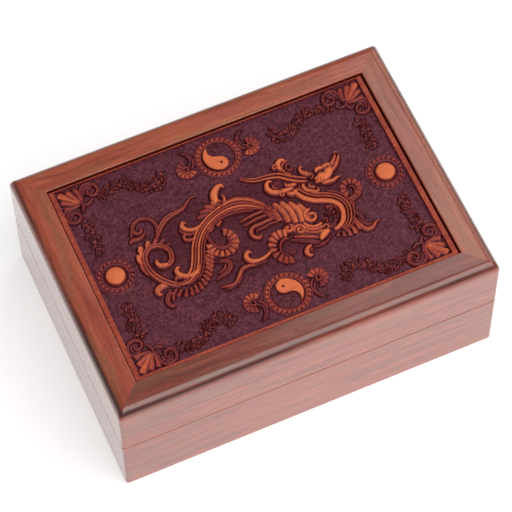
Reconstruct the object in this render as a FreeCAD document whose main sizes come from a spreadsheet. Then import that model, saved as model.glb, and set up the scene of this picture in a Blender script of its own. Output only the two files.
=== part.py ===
import FreeCAD, Part
import math
import os
import Sketcher
from FreeCAD import Placement, Rotation, Vector

# Hardwood box for a deck of cards: mitred boards, a deep lift-up lid with a sunk carved tile, and
# two small brass butt hinges at the back. Millimetres. The origin is at the middle of the
# underside, X runs along the front and Z is up.

SIZES = {
    # Outside of the closed box
    "box_length": 178.0,
    "box_depth": 127.5,
    "box_height": 67.0,
    "seam_height": 35.7,
    "seam_gap": 0.3,
    # Boards and the rounding of their edges
    "board_thickness": 13.0,
    "top_edge_radius": 4.7,
    "corner_radius": 1.5,
    "foot_edge_radius": 1.2,
    "seam_edge_radius": 0.4,
    "inner_edge_radius": 0.5,
    # Thin boards let into grooves
    "bottom_board_thickness": 4.0,
    "bottom_recess": 2.0,
    "backing_board_thickness": 3.0,
    "groove_depth": 5.0,
    "groove_play": 0.2,
    # Carved tile
    "tile_left_gap": 1.0,
    "tile_right_gap": 1.2,
    "tile_front_gap": 0.25,
    "tile_back_gap": 0.25,
    "tile_recess": 1.4,
    "tile_relief": 2.0,
    "tile_ground_thickness": 3.0,
    "tile_border_width": 2.5,
    "tile_back_border_width": 1.3,
    "boss_radius": 4.7,
    "boss_crown_radius": 1.4,
    "boss_rim_outer_radius": 8.8,
    "boss_rim_inner_radius": 6.2,
    "boss_left_inset": 11.0,
    "boss_right_inset": 10.3,
    "boss_shift": 0.8,
    "medallion_radius": 7.4,
    "medallion_rim_outer_radius": 10.5,
    "medallion_rim_inner_radius": 8.2,
    "medallion_back_inset": 12.5,
    "medallion_front_inset": 13.4,
    "medallion_shift": 0.3,
    "rim_relief": 1.0,
    "medallion_relief": 1.5,
    "dragon_length": 100.0,
    "dragon_relief": 1.4,
    "palmette_reach": 8.5,
    "palmette_relief": 1.0,
    "volute_radius": 3.6,
    "shell_radius": 4.4,
    "shell_spread": 15.6,
    "shell_back_inset": 13.5,
    "shell_front_inset": 15.6,
    "garland_width": 3.6,
    "garland_relief": 0.6,
    # Bevels at the back of the seam, which meet and stop the lid
    "stop_bevel_depth": 2.6,
    "stop_bevel_angle": 48.0,
    # Hinges
    "hinge_inset": 37.0,
    "hinge_length": 20.0,
    "leaf_width": 9.0,
    "leaf_thickness": 0.9,
    "barrel_radius": 1.75,
    "barrel_clearance": 0.3,
    "middle_knuckle_length": 7.0,
    "knuckle_gap": 0.2,
    "pin_radius": 0.8,
    "pin_clearance": 0.05,
    "mortise_play": 0.15,
    # Countersunk screws
    "screw_spacing": 12.0,
    "screw_head_radius": 1.7,
    "screw_shank_radius": 0.8,
    "screw_length": 8.0,
    "screw_tip_length": 1.6,
    "screw_tip_radius": 0.15,
    "screw_slot_width": 0.45,
    "screw_slot_depth": 0.35,
    "screw_clearance": 0.05,
    "pilot_spare_depth": 0.5,
}

TOLERANCE = 1e-4

doc = FreeCAD.newDocument("card_box")


def make_sheet():
    sheet = doc.addObject("Spreadsheet::Sheet", "sizes")
    for row, (alias, value) in enumerate(SIZES.items(), start=1):
        sheet.set(f"A{row}", alias.replace("_", " "))
        sheet.set(f"B{row}", str(value))
        sheet.setAlias(f"B{row}", alias)
    doc.recompute()
    return sheet


sheet = make_sheet()


class Amount:
    """A size worked out from the sheet: its value now, and the formula that keeps it bound."""

    def __init__(self, value, formula):
        self.value = value
        self.formula = formula

    def joined(self, sign, other, value):
        return Amount(value, f"({self.formula} {sign} {other.formula})")

    def __add__(self, other):
        other = amount(other)
        return self.joined("+", other, self.value + other.value)

    def __sub__(self, other):
        other = amount(other)
        return self.joined("-", other, self.value - other.value)

    def __mul__(self, other):
        other = amount(other)
        return self.joined("*", other, self.value * other.value)

    def __truediv__(self, other):
        other = amount(other)
        return self.joined("/", other, self.value / other.value)

    def __neg__(self):
        return amount(0) - self


def amount(thing):
    return thing if isinstance(thing, Amount) else Amount(float(thing), f"{float(thing)}")


def size(alias):
    return Amount(float(sheet.get(alias)), f"sizes.{alias}")


def distance_between(along, across):
    return Amount(math.hypot(along.value, across.value), f"hypot({along.formula}; {across.formula})")


def tangent(angle):
    return Amount(math.tan(math.radians(angle.value)), f"tan({angle.formula})")


# Sizes that several pieces share
half_length = size("box_length") / 2
half_depth = size("box_depth") / 2
thickness = size("board_thickness")
half_gap = size("seam_gap") / 2
base_top = size("seam_height") - half_gap
lid_bottom = size("seam_height") + half_gap
lid_rim_height = size("box_height") - lid_bottom
opening_half_length = half_length - thickness
opening_half_depth = half_depth - thickness
tile_underside = (size("box_height") - size("tile_recess") - size("tile_relief")
                  - size("tile_ground_thickness"))
backing_underside = tile_underside - size("backing_board_thickness")
pivot_y = half_depth - size("stop_bevel_depth")
bevel_rise = size("stop_bevel_depth") * tangent(size("stop_bevel_angle"))
screw_row_y = (size("barrel_radius") + size("leaf_width")) / -2
hinge_half_length = size("hinge_length") / 2
hinge_x = half_length - size("hinge_inset")


def plane(body, role):
    return next(feature for feature in body.Origin.OriginFeatures if feature.Role == role)


def new_body(label):
    body = doc.addObject("PartDesign::Body", label)
    body.Label = label
    return body


def new_sketch(body, role, name, offset=None):
    sketch = body.newObject("Sketcher::SketchObject", name)
    sketch.AttachmentSupport = [(plane(body, role), "")]
    sketch.MapMode = "FlatFace"
    if offset is not None:
        sketch.AttachmentOffset = Placement(Vector(0, 0, offset.value), Rotation())
        sketch.setExpression("AttachmentOffset.Base.z", offset.formula)
    return sketch


def fix(sketch, kind, geometry, corner, distance, name):
    """Place one point of the sketch at a bound distance from the sketch's origin."""
    index = sketch.addConstraint(Sketcher.Constraint(kind, -1, 1, geometry, corner, distance.value))
    sketch.renameConstraint(index, name)
    sketch.setExpression(f"Constraints.{name}", distance.formula)


def add_polygon(sketch, corners, prefix="corner"):
    """Closed outline of straight lines, each corner bound to the sheet."""
    first = sketch.GeometryCount
    count = len(corners)
    points = [Vector(u.value, v.value, 0) for u, v in corners]
    for index, start in enumerate(points):
        sketch.addGeometry(Part.LineSegment(start, points[(index + 1) % count]), False)
    for index, (u, v) in enumerate(corners):
        line = first + index
        following = first + (index + 1) % count
        sketch.addConstraint(Sketcher.Constraint("Coincident", line, 2, following, 1))
        fix(sketch, "DistanceX", line, 1, amount(u), f"{prefix}{index}_u")
        fix(sketch, "DistanceY", line, 1, amount(v), f"{prefix}{index}_v")


def add_rectangle(sketch, low_u, low_v, high_u, high_v, prefix="corner"):
    add_polygon(sketch, [(low_u, low_v), (high_u, low_v), (high_u, high_v), (low_u, high_v)], prefix)


def add_curved_outline(sketch, corners, prefix="corner"):
    """Closed outline of arcs and lines through corners of (u, v, rise).

    The stretch to the next corner bulges to its left by rise times its length, or runs straight.
    """
    first = sketch.GeometryCount
    count = len(corners)
    near_ends = []
    for index, (u, v, rise) in enumerate(corners):
        next_u, next_v = corners[(index + 1) % count][:2]
        start, stop = Vector(u.value, v.value, 0), Vector(next_u.value, next_v.value, 0)
        near_ends.append(2 if rise > 0 else 1)
        if not rise:
            sketch.addGeometry(Part.LineSegment(start, stop), False)
            continue
        chord = distance_between(next_u - u, next_v - v)
        radius = chord * ((0.25 + rise ** 2) / (2 * abs(rise)))
        left = Vector(start.y - stop.y, stop.x - start.x, 0) / chord.value
        depth = radius.value / chord.value - abs(rise)
        centre = (start + stop) / 2 - left * chord.value * math.copysign(depth, rise)
        low, high = (stop, start) if rise > 0 else (start, stop)
        from_angle = math.atan2(low.y - centre.y, low.x - centre.x)
        to_angle = math.atan2(high.y - centre.y, high.x - centre.x)
        if to_angle < from_angle:
            to_angle += 2 * math.pi
        circle = Part.Circle(centre, Vector(0, 0, 1), radius.value)
        arc = sketch.addGeometry(Part.ArcOfCircle(circle, from_angle, to_angle), False)
        constraint = sketch.addConstraint(Sketcher.Constraint("Radius", arc, radius.value))
        sketch.renameConstraint(constraint, f"{prefix}{index}_radius")
        sketch.setExpression(f"Constraints.{prefix}{index}_radius", radius.formula)
    for index, (u, v, rise) in enumerate(corners):
        following = (index + 1) % count
        sketch.addConstraint(Sketcher.Constraint("Coincident", first + index, 3 - near_ends[index],
                                                 first + following, near_ends[following]))
        fix(sketch, "DistanceX", first + index, near_ends[index], u, f"{prefix}{index}_u")
        fix(sketch, "DistanceY", first + index, near_ends[index], v, f"{prefix}{index}_v")


def add_circle(sketch, centre_u, centre_v, radius, prefix="circle"):
    centre = Vector(centre_u.value, centre_v.value, 0)
    circle = sketch.addGeometry(Part.Circle(centre, Vector(0, 0, 1), radius.value), False)
    fix(sketch, "DistanceX", circle, 3, centre_u, f"{prefix}_u")
    fix(sketch, "DistanceY", circle, 3, centre_v, f"{prefix}_v")
    index = sketch.addConstraint(Sketcher.Constraint("Radius", circle, radius.value))
    sketch.renameConstraint(index, f"{prefix}_radius")
    sketch.setExpression(f"Constraints.{prefix}_radius", radius.formula)


def add_pad(body, sketch, length, name):
    pad = body.newObject("PartDesign::Pad", name)
    pad.Profile = sketch
    pad.setExpression("Length", length.formula)
    sketch.Visibility = False
    doc.recompute()
    return pad


def add_pocket(body, sketch, name, length=None, reversed_way=False):
    """Cut through all, both ways, or to a depth that is measured against the solid's normal."""
    volume = body.Shape.Volume
    pocket = body.newObject("PartDesign::Pocket", name)
    pocket.Profile = sketch
    if length is None:
        pocket.Type = "ThroughAll"
        pocket.SideType = "Symmetric"
    else:
        pocket.Reversed = reversed_way
        pocket.setExpression("Length", length.formula)
    sketch.Visibility = False
    doc.recompute()
    if not body.Shape.Volume < volume:
        raise RuntimeError(f"{body.Label}: {name} cuts nothing")
    return pocket


def edges_where(feature, test):
    """Names of the edges of which both ends and the middle pass the test."""
    names = []
    for number, edge in enumerate(feature.Shape.Edges, start=1):
        first, last = edge.FirstParameter, edge.LastParameter
        samples = [edge.valueAt(first), edge.valueAt((first + last) / 2), edge.valueAt(last)]
        if all(test(point) for point in samples):
            names.append(f"Edge{number}")
    return names


def add_fillet(body, radius, test, name):
    feature = body.Tip
    names = edges_where(feature, test)
    if not names:
        raise RuntimeError(f"{body.Label}: {name} finds no edge")
    fillet = body.newObject("PartDesign::Fillet", name)
    fillet.Base = (feature, names)
    fillet.setExpression("Radius", radius.formula)
    doc.recompute()
    return fillet


def near(value, target):
    return abs(value - target) < TOLERANCE


def at_height(height):
    return lambda point: near(point.z, height.value)


def at_outer_corner(point):
    return near(abs(point.x), half_length.value) and near(abs(point.y), half_depth.value)


def place(thing, x=0, y=0, z=0):
    """Give a piece its place in the box, bound to the sheet."""
    distances = {"x": amount(x), "y": amount(y), "z": amount(z)}
    thing.Placement.Base = Vector(*(distance.value for distance in distances.values()))
    for axis, distance in distances.items():
        thing.setExpression(f"Placement.Base.{axis}", distance.formula)


# Boards of the base and of the lid's rim

def footprint(side):
    """A board seen from above: its mitres run from the outer corner to the opening's corner."""
    spare = thickness
    outer_x, outer_y = half_length + spare, half_depth + spare
    inner_x, inner_y = half_length - thickness, half_depth - thickness
    return {
        "front": [(-outer_x, -outer_y), (outer_x, -outer_y), (inner_x, -inner_y), (-inner_x, -inner_y)],
        "right": [(outer_x, -outer_y), (outer_x, outer_y), (inner_x, inner_y), (inner_x, -inner_y)],
        "back": [(outer_x, outer_y), (-outer_x, outer_y), (-inner_x, inner_y), (inner_x, inner_y)],
        "left": [(-outer_x, outer_y), (-outer_x, -outer_y), (-inner_x, -inner_y), (-inner_x, inner_y)],
    }[side]


def on_inner_face(side):
    inner_x, inner_y = opening_half_length.value, opening_half_depth.value
    tests = {
        "front": lambda point: near(point.y, -inner_y),
        "right": lambda point: near(point.x, inner_x),
        "back": lambda point: near(point.y, inner_y),
        "left": lambda point: near(point.x, -inner_x),
    }
    return tests[side]


def cut_groove(body, side, low, high):
    """Groove along the board's inner face for a thin board."""
    if side in ("front", "back"):
        role, inner, sign = "YZ_Plane", opening_half_depth, -1 if side == "front" else 1
    else:
        role, inner, sign = "XZ_Plane", opening_half_length, -1 if side == "left" else 1
    sketch = new_sketch(body, role, "groove_section")
    mouth = (inner - size("groove_depth")) * sign
    floor = (inner + size("groove_depth")) * sign
    add_rectangle(sketch, mouth, low, floor, high)
    add_pocket(body, sketch, "groove")


def cut_stop_bevel(body, seam, direction):
    """Bevel the back edge at the seam over the box's whole length."""
    sketch = new_sketch(body, "YZ_Plane", "stop_bevel_section")
    spare = size("stop_bevel_depth")
    rise = bevel_rise * 2
    corners = [(pivot_y, seam), (half_depth + spare, seam),
               (half_depth + spare, seam + rise * direction)]
    add_polygon(sketch, corners)
    add_pocket(body, sketch, "stop_bevel")


def keep_footprint(body, side):
    """Take away all of the block but this board."""
    sketch = new_sketch(body, "XY_Plane", "footprint")
    spare = thickness * 2
    add_rectangle(sketch, -(half_length + spare), -(half_depth + spare),
                  half_length + spare, half_depth + spare, "clear")
    add_polygon(sketch, footprint(side), "board")
    add_pocket(body, sketch, "mitres")


def cut_hinge_seat(body, name, centre_x, seam, upwards):
    """Mortise for a leaf, a round pocket for the barrel and pilot holes, all at the seam face."""
    mortise_half = hinge_half_length + size("mortise_play")
    mortise = new_sketch(body, "XY_Plane", f"{name}_mortise_outline", seam)
    add_rectangle(mortise, centre_x - mortise_half, pivot_y - size("leaf_width") - size("mortise_play"),
                  centre_x + mortise_half, half_depth)
    add_pocket(body, mortise, f"{name}_mortise", size("leaf_thickness"), upwards)

    barrel = new_sketch(body, "YZ_Plane", f"{name}_barrel_outline", centre_x - mortise_half)
    axis_height = seam + (half_gap if not upwards else -half_gap)
    add_circle(barrel, pivot_y, axis_height, size("barrel_radius") + size("barrel_clearance"))
    add_pocket(body, barrel, f"{name}_barrel", mortise_half * 2, True)

    pilots = new_sketch(body, "XY_Plane", f"{name}_pilot_outline", seam)
    for number, sign in enumerate((-1, 1)):
        add_circle(pilots, centre_x + size("screw_spacing") / 2 * sign, pivot_y + screw_row_y,
                   size("screw_shank_radius") + size("screw_clearance"), f"pilot{number}")
    pilot_depth = size("leaf_thickness") + size("screw_length") + size("pilot_spare_depth")
    add_pocket(body, pilots, f"{name}_pilots", pilot_depth, upwards)


def make_block(label, height):
    body = new_body(label)
    outline = new_sketch(body, "XY_Plane", "outline")
    add_rectangle(outline, -half_length, -half_depth, half_length, half_depth)
    add_pad(body, outline, height, "block")
    return body


def make_base_board(side):
    body = make_block(f"base_{side}_wall", base_top)
    add_fillet(body, size("corner_radius"), at_outer_corner, "corner_rounding")
    add_fillet(body, size("foot_edge_radius"), at_height(amount(0)), "foot_rounding")
    add_fillet(body, size("seam_edge_radius"), at_height(base_top), "seam_rounding")
    cut_stop_bevel(body, base_top, -1)
    keep_footprint(body, side)
    groove_low = size("bottom_recess")
    cut_groove(body, side, groove_low, groove_low + size("bottom_board_thickness"))
    inner = on_inner_face(side)
    add_fillet(body, size("inner_edge_radius"),
               lambda point: inner(point) and near(point.z, base_top.value), "inner_rounding")
    if side == "back":
        for name, sign in (("left", -1), ("right", 1)):
            cut_hinge_seat(body, name, hinge_x * sign, base_top, False)
    return body


def make_lid_board(side):
    body = make_block(f"lid_{side}_wall", lid_rim_height)
    add_fillet(body, size("corner_radius"), at_outer_corner, "corner_rounding")
    add_fillet(body, size("top_edge_radius"), at_height(lid_rim_height), "top_rounding")
    add_fillet(body, size("seam_edge_radius"), at_height(amount(0)), "seam_rounding")
    cut_stop_bevel(body, amount(0), 1)
    keep_footprint(body, side)
    groove_low = backing_underside - lid_bottom
    cut_groove(body, side, groove_low, groove_low + size("backing_board_thickness"))
    inner = on_inner_face(side)
    add_fillet(body, size("inner_edge_radius"),
               lambda point: inner(point) and (near(point.z, 0) or near(point.z, lid_rim_height.value)),
               "inner_rounding")
    if side == "back":
        for name, sign in (("left", -1), ("right", 1)):
            cut_hinge_seat(body, name, hinge_x * sign, amount(0), True)
    place(body, z=lid_bottom)
    return body


def make_thin_board(label, board_thickness, height):
    """Board held in the grooves all round."""
    body = new_body(label)
    outline = new_sketch(body, "XY_Plane", "outline")
    overlap = size("groove_depth") - size("groove_play")
    reach_x, reach_y = opening_half_length + overlap, opening_half_depth + overlap
    add_rectangle(outline, -reach_x, -reach_y, reach_x, reach_y)
    add_pad(body, outline, board_thickness, "board")
    place(body, z=height)
    return body


# Carved tile

def add_rim(body, name, x, y, outer, inner, height):
    sketch = new_sketch(body, "XY_Plane", f"{name}_outline")
    add_circle(sketch, x, y, outer, "outer")
    add_circle(sketch, x, y, inner, "inner")
    add_pad(body, sketch, height, name)


def add_disc(body, name, x, y, radius, height):
    sketch = new_sketch(body, "XY_Plane", f"{name}_outline")
    add_circle(sketch, x, y, radius)
    add_pad(body, sketch, height, name)


def add_plateau(body, name, corners, height):
    """Low flat-topped form inside a curved outline."""
    sketch = new_sketch(body, "XY_Plane", f"{name}_outline")
    add_curved_outline(sketch, corners)
    add_pad(body, sketch, height, name)


# The dragon's main forms in hundredths of its length, each corner with the bulge of the stretch
# to the next one. Its scales, leaves and scrolls are carved in these.
DRAGON_FORMS = {
    "tail_coil": [
        (-40.0, -16.0, 0.12), (-53.0, 0.6, 0.2), (-44.4, 10.9, 0.2), (-36.4, 1.4, 0.2), (-43.6, -5.0, 0),
        (-43.4, -2.0, -0.15), (-39.6, 1.6, -0.2), (-44.6, 7.0, -0.2), (-48.8, 1.0, -0.12), (-40.6, -13.0, 0),
    ],
    "trunk": [
        (-46.0, -14.0, -0.12), (-36.0, -12.4, -0.08), (-28.0, 2.0, 0.15), (-4.0, 14.2, 0.15), (19.0, -3.4, 0),
        (14.0, -6.6, -0.12), (-4.0, 9.0, -0.15), (-20.4, -2.0, 0.1), (-31.0, -17.8, 0.12), (-45.4, -18.2, 0),
    ],
    "haunch": [
        (12.4, -4.0, 0.15), (24.0, -0.6, 0.2), (31.0, -8.6, 0.2), (25.0, -16.6, 0.1), (15.0, -12.6, 0),
    ],
    "foot_coil": [
        (16.0, -8.4, 0), (10.6, -5.2, -0.2), (1.4, -12.0, -0.2), (4.4, -22.0, -0.15), (12.6, -23.6, 0),
        (11.6, -17.6, 0.2), (9.0, -14.4, 0.15), (17.0, -12.6, 0),
    ],
    "neck": [
        (15.0, -17.4, -0.1), (36.0, -19.8, -0.2), (43.6, -7.0, -0.15), (36.6, 2.2, 0.08), (27.6, 8.6, 0.1),
        (31.6, 14.0, -0.2), (22.4, 8.6, -0.1), (33.0, -1.0, 0.15), (38.4, -7.4, 0.15), (33.4, -14.6, 0.06),
        (16.0, -13.6, 0),
    ],
    "head": [
        (31.0, 12.4, 0.1), (39.0, 16.2, 0), (44.0, 14.0, 0), (50.4, 18.8, 0), (47.4, 11.6, 0), (45.0, 6.2, 0.1),
        (38.0, 3.6, 0.1),
    ],
    "crest": [
        (27.0, 13.0, 0), (31.4, 15.6, 0.05), (26.6, 24.6, 0.2), (20.4, 22.6, 0.1), (22.0, 17.4, 0),
    ],
}

# Lines that the garlands' middles follow, in hundredths of the dragon's length
GARLAND_ACROSS = [(58.0, 42.0), (48.0, 43.4), (40.5, 41.8), (34.0, 37.0), (27.0, 38.0)]
GARLAND_DOWN = [(66.0, 34.0), (65.0, 24.0), (66.0, 13.0)]


def add_garlands(body, unit, height):
    """Low bands in each quarter of the tile, one along it and one across."""
    half_width = size("garland_width") / 2
    for column, x in (("left", -1), ("right", 1)):
        for row, y in (("front", -1), ("back", 1)):
            points = [(unit * (u * x), unit * (v * y)) for u, v in GARLAND_ACROSS]
            corners = [(u, v + half_width, 0) for u, v in points]
            corners += [(u, v - half_width, 0) for u, v in reversed(points)]
            add_plateau(body, f"{column}_{row}_garland", corners, height)
            points = [(unit * (u * x), unit * (v * y)) for u, v in GARLAND_DOWN]
            corners = [(u + half_width, v, 0) for u, v in points]
            corners += [(u - half_width, v, 0) for u, v in reversed(points)]
            add_plateau(body, f"{column}_{row}_side_garland", corners, height)


def add_palmettes(body, edges, height):
    """A fan of leaves in each inner corner of the border, with a volute on either side."""
    reach, volute = size("palmette_reach"), size("volute_radius")
    for column, edge_x, x in (("left", edges["left"], -1), ("right", edges["right"], 1)):
        for row, edge_y, y in (("front", edges["front"], -1), ("back", edges["back"], 1)):
            root_u, root_v = edge_x - reach * x, edge_y - reach * y
            turned = 0.1 * x * y
            corners = [(root_u, root_v, 0), (edge_x, root_v + volute * (0.2 * y), 0), (edge_x, edge_y, 0),
                       (root_u + volute * (0.2 * x), edge_y, turned)]
            add_plateau(body, f"{column}_{row}_palmette", corners, height)
            add_disc(body, f"{column}_{row}_volute", root_u - volute * (1.6 * x), root_v + volute * (0.9 * y),
                     volute, height)
            add_disc(body, f"{column}_{row}_side_volute", root_u + volute * (1.0 * x),
                     root_v - volute * (1.5 * y), volute, height)


def make_tile():
    body = new_body("carved_tile")
    ground = size("tile_ground_thickness")
    left = -opening_half_length + size("tile_left_gap")
    right = opening_half_length - size("tile_right_gap")
    front = -opening_half_depth + size("tile_front_gap")
    back = opening_half_depth - size("tile_back_gap")
    outline = new_sketch(body, "XY_Plane", "outline")
    add_rectangle(outline, left, front, right, back)
    add_pad(body, outline, ground, "ground")

    border = new_sketch(body, "XY_Plane", "border_outline")
    width = size("tile_border_width")
    add_rectangle(border, left, front, right, back, "outer")
    edges = {"left": left + width, "right": right - width, "front": front + width,
             "back": back - size("tile_back_border_width")}
    add_rectangle(border, edges["left"], edges["front"], edges["right"], edges["back"], "inner")
    add_pad(body, border, ground + size("tile_relief"), "border")

    unit = size("dragon_length") / 100
    add_garlands(body, unit, ground + size("garland_relief"))
    add_palmettes(body, edges, ground + size("palmette_relief"))
    for name, x, y in (("back_left_shell", -1, back - size("shell_back_inset")),
                       ("back_right_shell", 1, back - size("shell_back_inset")),
                       ("front_left_shell", -1, front + size("shell_front_inset")),
                       ("front_right_shell", 1, front + size("shell_front_inset"))):
        add_disc(body, name, size("shell_spread") * x, y, size("shell_radius"),
                 ground + size("palmette_relief"))

    boss_height = ground + size("tile_relief")
    rim_height = ground + size("rim_relief")
    boss_y = size("boss_shift")
    for name, x in (("left_boss", left + size("boss_left_inset")),
                    ("right_boss", right - size("boss_right_inset"))):
        add_rim(body, f"{name}_rim", x, boss_y, size("boss_rim_outer_radius"),
                size("boss_rim_inner_radius"), rim_height)
        add_disc(body, name, x, boss_y, size("boss_radius"), boss_height)
        centre = Vector(x.value, boss_y.value, boss_height.value)
        add_fillet(body, size("boss_crown_radius"),
                   lambda point: near(point.z, centre.z)
                   and near(point.distanceToPoint(centre), size("boss_radius").value), f"{name}_crown")
    x = size("medallion_shift")
    for name, y in (("back_medallion", back - size("medallion_back_inset")),
                    ("front_medallion", front + size("medallion_front_inset"))):
        add_rim(body, f"{name}_rim", x, y, size("medallion_rim_outer_radius"),
                size("medallion_rim_inner_radius"), rim_height)
        add_disc(body, name, x, y, size("medallion_radius"), ground + size("medallion_relief"))

    dragon_height = ground + size("dragon_relief")
    for name, corners in DRAGON_FORMS.items():
        add_plateau(body, name, [(unit * u, unit * v, rise) for u, v, rise in corners], dragon_height)
    place(body, z=tile_underside)
    return body


# Hinges, drawn about the middle of the pivot, with X along the pin and Y towards the back

def add_box(name, low, high):
    box = doc.addObject("Part::Box", name)
    for index, (axis, length) in enumerate((("x", "Length"), ("y", "Width"), ("z", "Height"))):
        bottom, top = amount(low[index]), amount(high[index])
        box.setExpression(f"Placement.Base.{axis}", bottom.formula)
        box.setExpression(length, (top - bottom).formula)
    return box


def add_cylinder(name, radius, low_x, high_x):
    """Cylinder along X on the pivot."""
    cylinder = doc.addObject("Part::Cylinder", name)
    cylinder.Placement = Placement(Vector(), Rotation(Vector(0, 1, 0), 90))
    cylinder.setExpression("Placement.Base.x", amount(low_x).formula)
    cylinder.setExpression("Radius", radius.formula)
    cylinder.setExpression("Height", (amount(high_x) - low_x).formula)
    return cylinder


def add_cone(name, bottom_radius, top_radius, x, y, low_z, high_z):
    cone = doc.addObject("Part::Cone", name)
    for axis, distance in (("x", x), ("y", y), ("z", low_z)):
        cone.setExpression(f"Placement.Base.{axis}", amount(distance).formula)
    cone.setExpression("Radius1", bottom_radius.formula)
    cone.setExpression("Radius2", top_radius.formula)
    cone.setExpression("Height", (amount(high_z) - low_z).formula)
    return cone


def fuse(name, shapes):
    fusion = doc.addObject("Part::MultiFuse", name)
    fusion.Shapes = shapes
    return fusion


def cut(name, base, tools):
    difference = doc.addObject("Part::Cut", name)
    difference.Base = base
    difference.Tool = tools[0] if len(tools) == 1 else fuse(f"{name}_tools", tools)
    return difference


def leaf_levels(upwards):
    """Heights, from the pivot, of the leaf's face at the seam and of its face on the wood."""
    face = half_gap if upwards else -half_gap
    back = face + size("leaf_thickness") * (1 if upwards else -1)
    return face, back


def screw_places():
    return [(size("screw_spacing") / 2 * sign, screw_row_y) for sign in (-1, 1)]


def make_leaf(label, centre_x, upwards):
    """Leaf with its knuckles: the outer two on the base's leaf, the middle one on the lid's."""
    face, back = leaf_levels(upwards)
    low_z, high_z = (face, back) if upwards else (back, face)
    barrel, gap = size("barrel_radius"), size("knuckle_gap")
    middle = size("middle_knuckle_length") / 2
    end = hinge_half_length
    plate = add_box(f"{label}_plate", (-end, -size("leaf_width"), low_z), (end, 0, high_z))
    own = [(-middle, middle)] if upwards else [(-end, -middle - gap), (middle + gap, end)]
    others = [(-end, -middle), (middle, end)] if upwards else [(-middle - gap, middle + gap)]
    knuckles = [add_cylinder(f"{label}_knuckle{number}", barrel, low, high)
                for number, (low, high) in enumerate(own)]
    clearances = [add_box(f"{label}_relief{number}", (low, -barrel - gap, -barrel), (high, barrel, barrel))
                  for number, (low, high) in enumerate(others)]
    bore = add_cylinder(f"{label}_bore", size("pin_radius") + size("pin_clearance"), -end, end)
    play = size("screw_clearance")
    wide, narrow = size("screw_head_radius") + play, size("screw_shank_radius") + play
    low_radius, high_radius = (wide, narrow) if upwards else (narrow, wide)
    sinks = [add_cone(f"{label}_sink{number}", low_radius, high_radius, x, y, low_z, high_z)
             for number, (x, y) in enumerate(screw_places())]
    relieved = cut(f"{label}_relieved", plate, clearances)
    leaf = cut(label, fuse(f"{label}_body", [relieved] + knuckles), [bore] + sinks)
    leaf.Label = label
    place(leaf, centre_x, pivot_y, size("seam_height"))
    return leaf


def make_pin(label, centre_x):
    pin = add_cylinder(f"{label}_rod", size("pin_radius"), -hinge_half_length, hinge_half_length)
    group = doc.addObject("Part::Compound", label)
    group.Links = [pin]
    group.Label = label
    place(group, centre_x, pivot_y, size("seam_height"))
    return group


def make_screws(label, centre_x, upwards):
    """The screws of one leaf, heads flush with the leaf's face."""
    face, back = leaf_levels(upwards)
    way = 1 if upwards else -1
    tip = back + size("screw_length") * way
    shank_end = tip - size("screw_tip_length") * way
    head, shank, point = size("screw_head_radius"), size("screw_shank_radius"), size("screw_tip_radius")
    screws = []
    for number, (x, y) in enumerate(screw_places()):
        name = f"{label}{number}"
        stages = [(head, shank, face, back), (shank, shank, back, shank_end), (shank, point, shank_end, tip)]
        solids = []
        for stage, (near_radius, far_radius, start, stop) in enumerate(stages):
            if near_radius is far_radius:
                rod = doc.addObject("Part::Cylinder", f"{name}_shank")
                rod.setExpression("Radius", shank.formula)
                low, high = (start, stop) if upwards else (stop, start)
                rod.setExpression("Height", (high - low).formula)
                for axis, distance in (("x", x), ("y", y), ("z", low)):
                    rod.setExpression(f"Placement.Base.{axis}", distance.formula)
                solids.append(rod)
            elif upwards:
                solids.append(add_cone(f"{name}_stage{stage}", near_radius, far_radius, x, y, start, stop))
            else:
                solids.append(add_cone(f"{name}_stage{stage}", far_radius, near_radius, x, y, stop, start))
        slot_floor = face + size("screw_slot_depth") * way
        half_width = size("screw_slot_width") / 2
        low_z, high_z = (face - half_gap, slot_floor) if upwards else (slot_floor, face + half_gap)
        slot = add_box(f"{name}_slot", (x - head, y - half_width, low_z), (x + head, y + half_width, high_z))
        screws.append(cut(name, fuse(f"{name}_body", solids), [slot]))
    group = doc.addObject("Part::Compound", label)
    group.Links = screws
    group.Label = label
    place(group, centre_x, pivot_y, size("seam_height"))
    return group


def make_hinge(side, centre_x):
    return [
        make_leaf(f"{side}_hinge_base_leaf", centre_x, False),
        make_leaf(f"{side}_hinge_lid_leaf", centre_x, True),
        make_pin(f"{side}_hinge_pin", centre_x),
        make_screws(f"{side}_hinge_base_screws", centre_x, False),
        make_screws(f"{side}_hinge_lid_screws", centre_x, True),
    ]


def check(pieces):
    failed = [thing.Label for thing in doc.Objects
              if "Invalid" in thing.State or "Error" in thing.State]
    if failed:
        raise RuntimeError(f"failed objects: {', '.join(failed)}")
    for piece in pieces:
        if piece.Shape.isNull() or not piece.Shape.isValid() or not piece.Shape.Solids:
            raise RuntimeError(f"{piece.Label} has no valid shape")


def main():
    sides = ("front", "right", "back", "left")
    pieces = [make_base_board(side) for side in sides]
    pieces += [make_lid_board(side) for side in sides]
    pieces.append(make_thin_board("base_bottom_board", size("bottom_board_thickness"), size("bottom_recess")))
    pieces.append(make_thin_board("lid_backing_board", size("backing_board_thickness"), backing_underside))
    pieces.append(make_tile())
    pieces += make_hinge("left", -hinge_x)
    pieces += make_hinge("right", hinge_x)
    doc.recompute()
    check(pieces)
    os.makedirs("parts", exist_ok=True)
    for piece in pieces:
        piece.Shape.exportStep(os.path.join("parts", f"{piece.Label}.step"))
        print(piece.Label, len(piece.Shape.Solids), round(piece.Shape.Volume, 1))


main()
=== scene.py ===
"""Finishes a wooden tarot card box: lacquered boards, brass hinges and the carved tile in its lid."""

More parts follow.
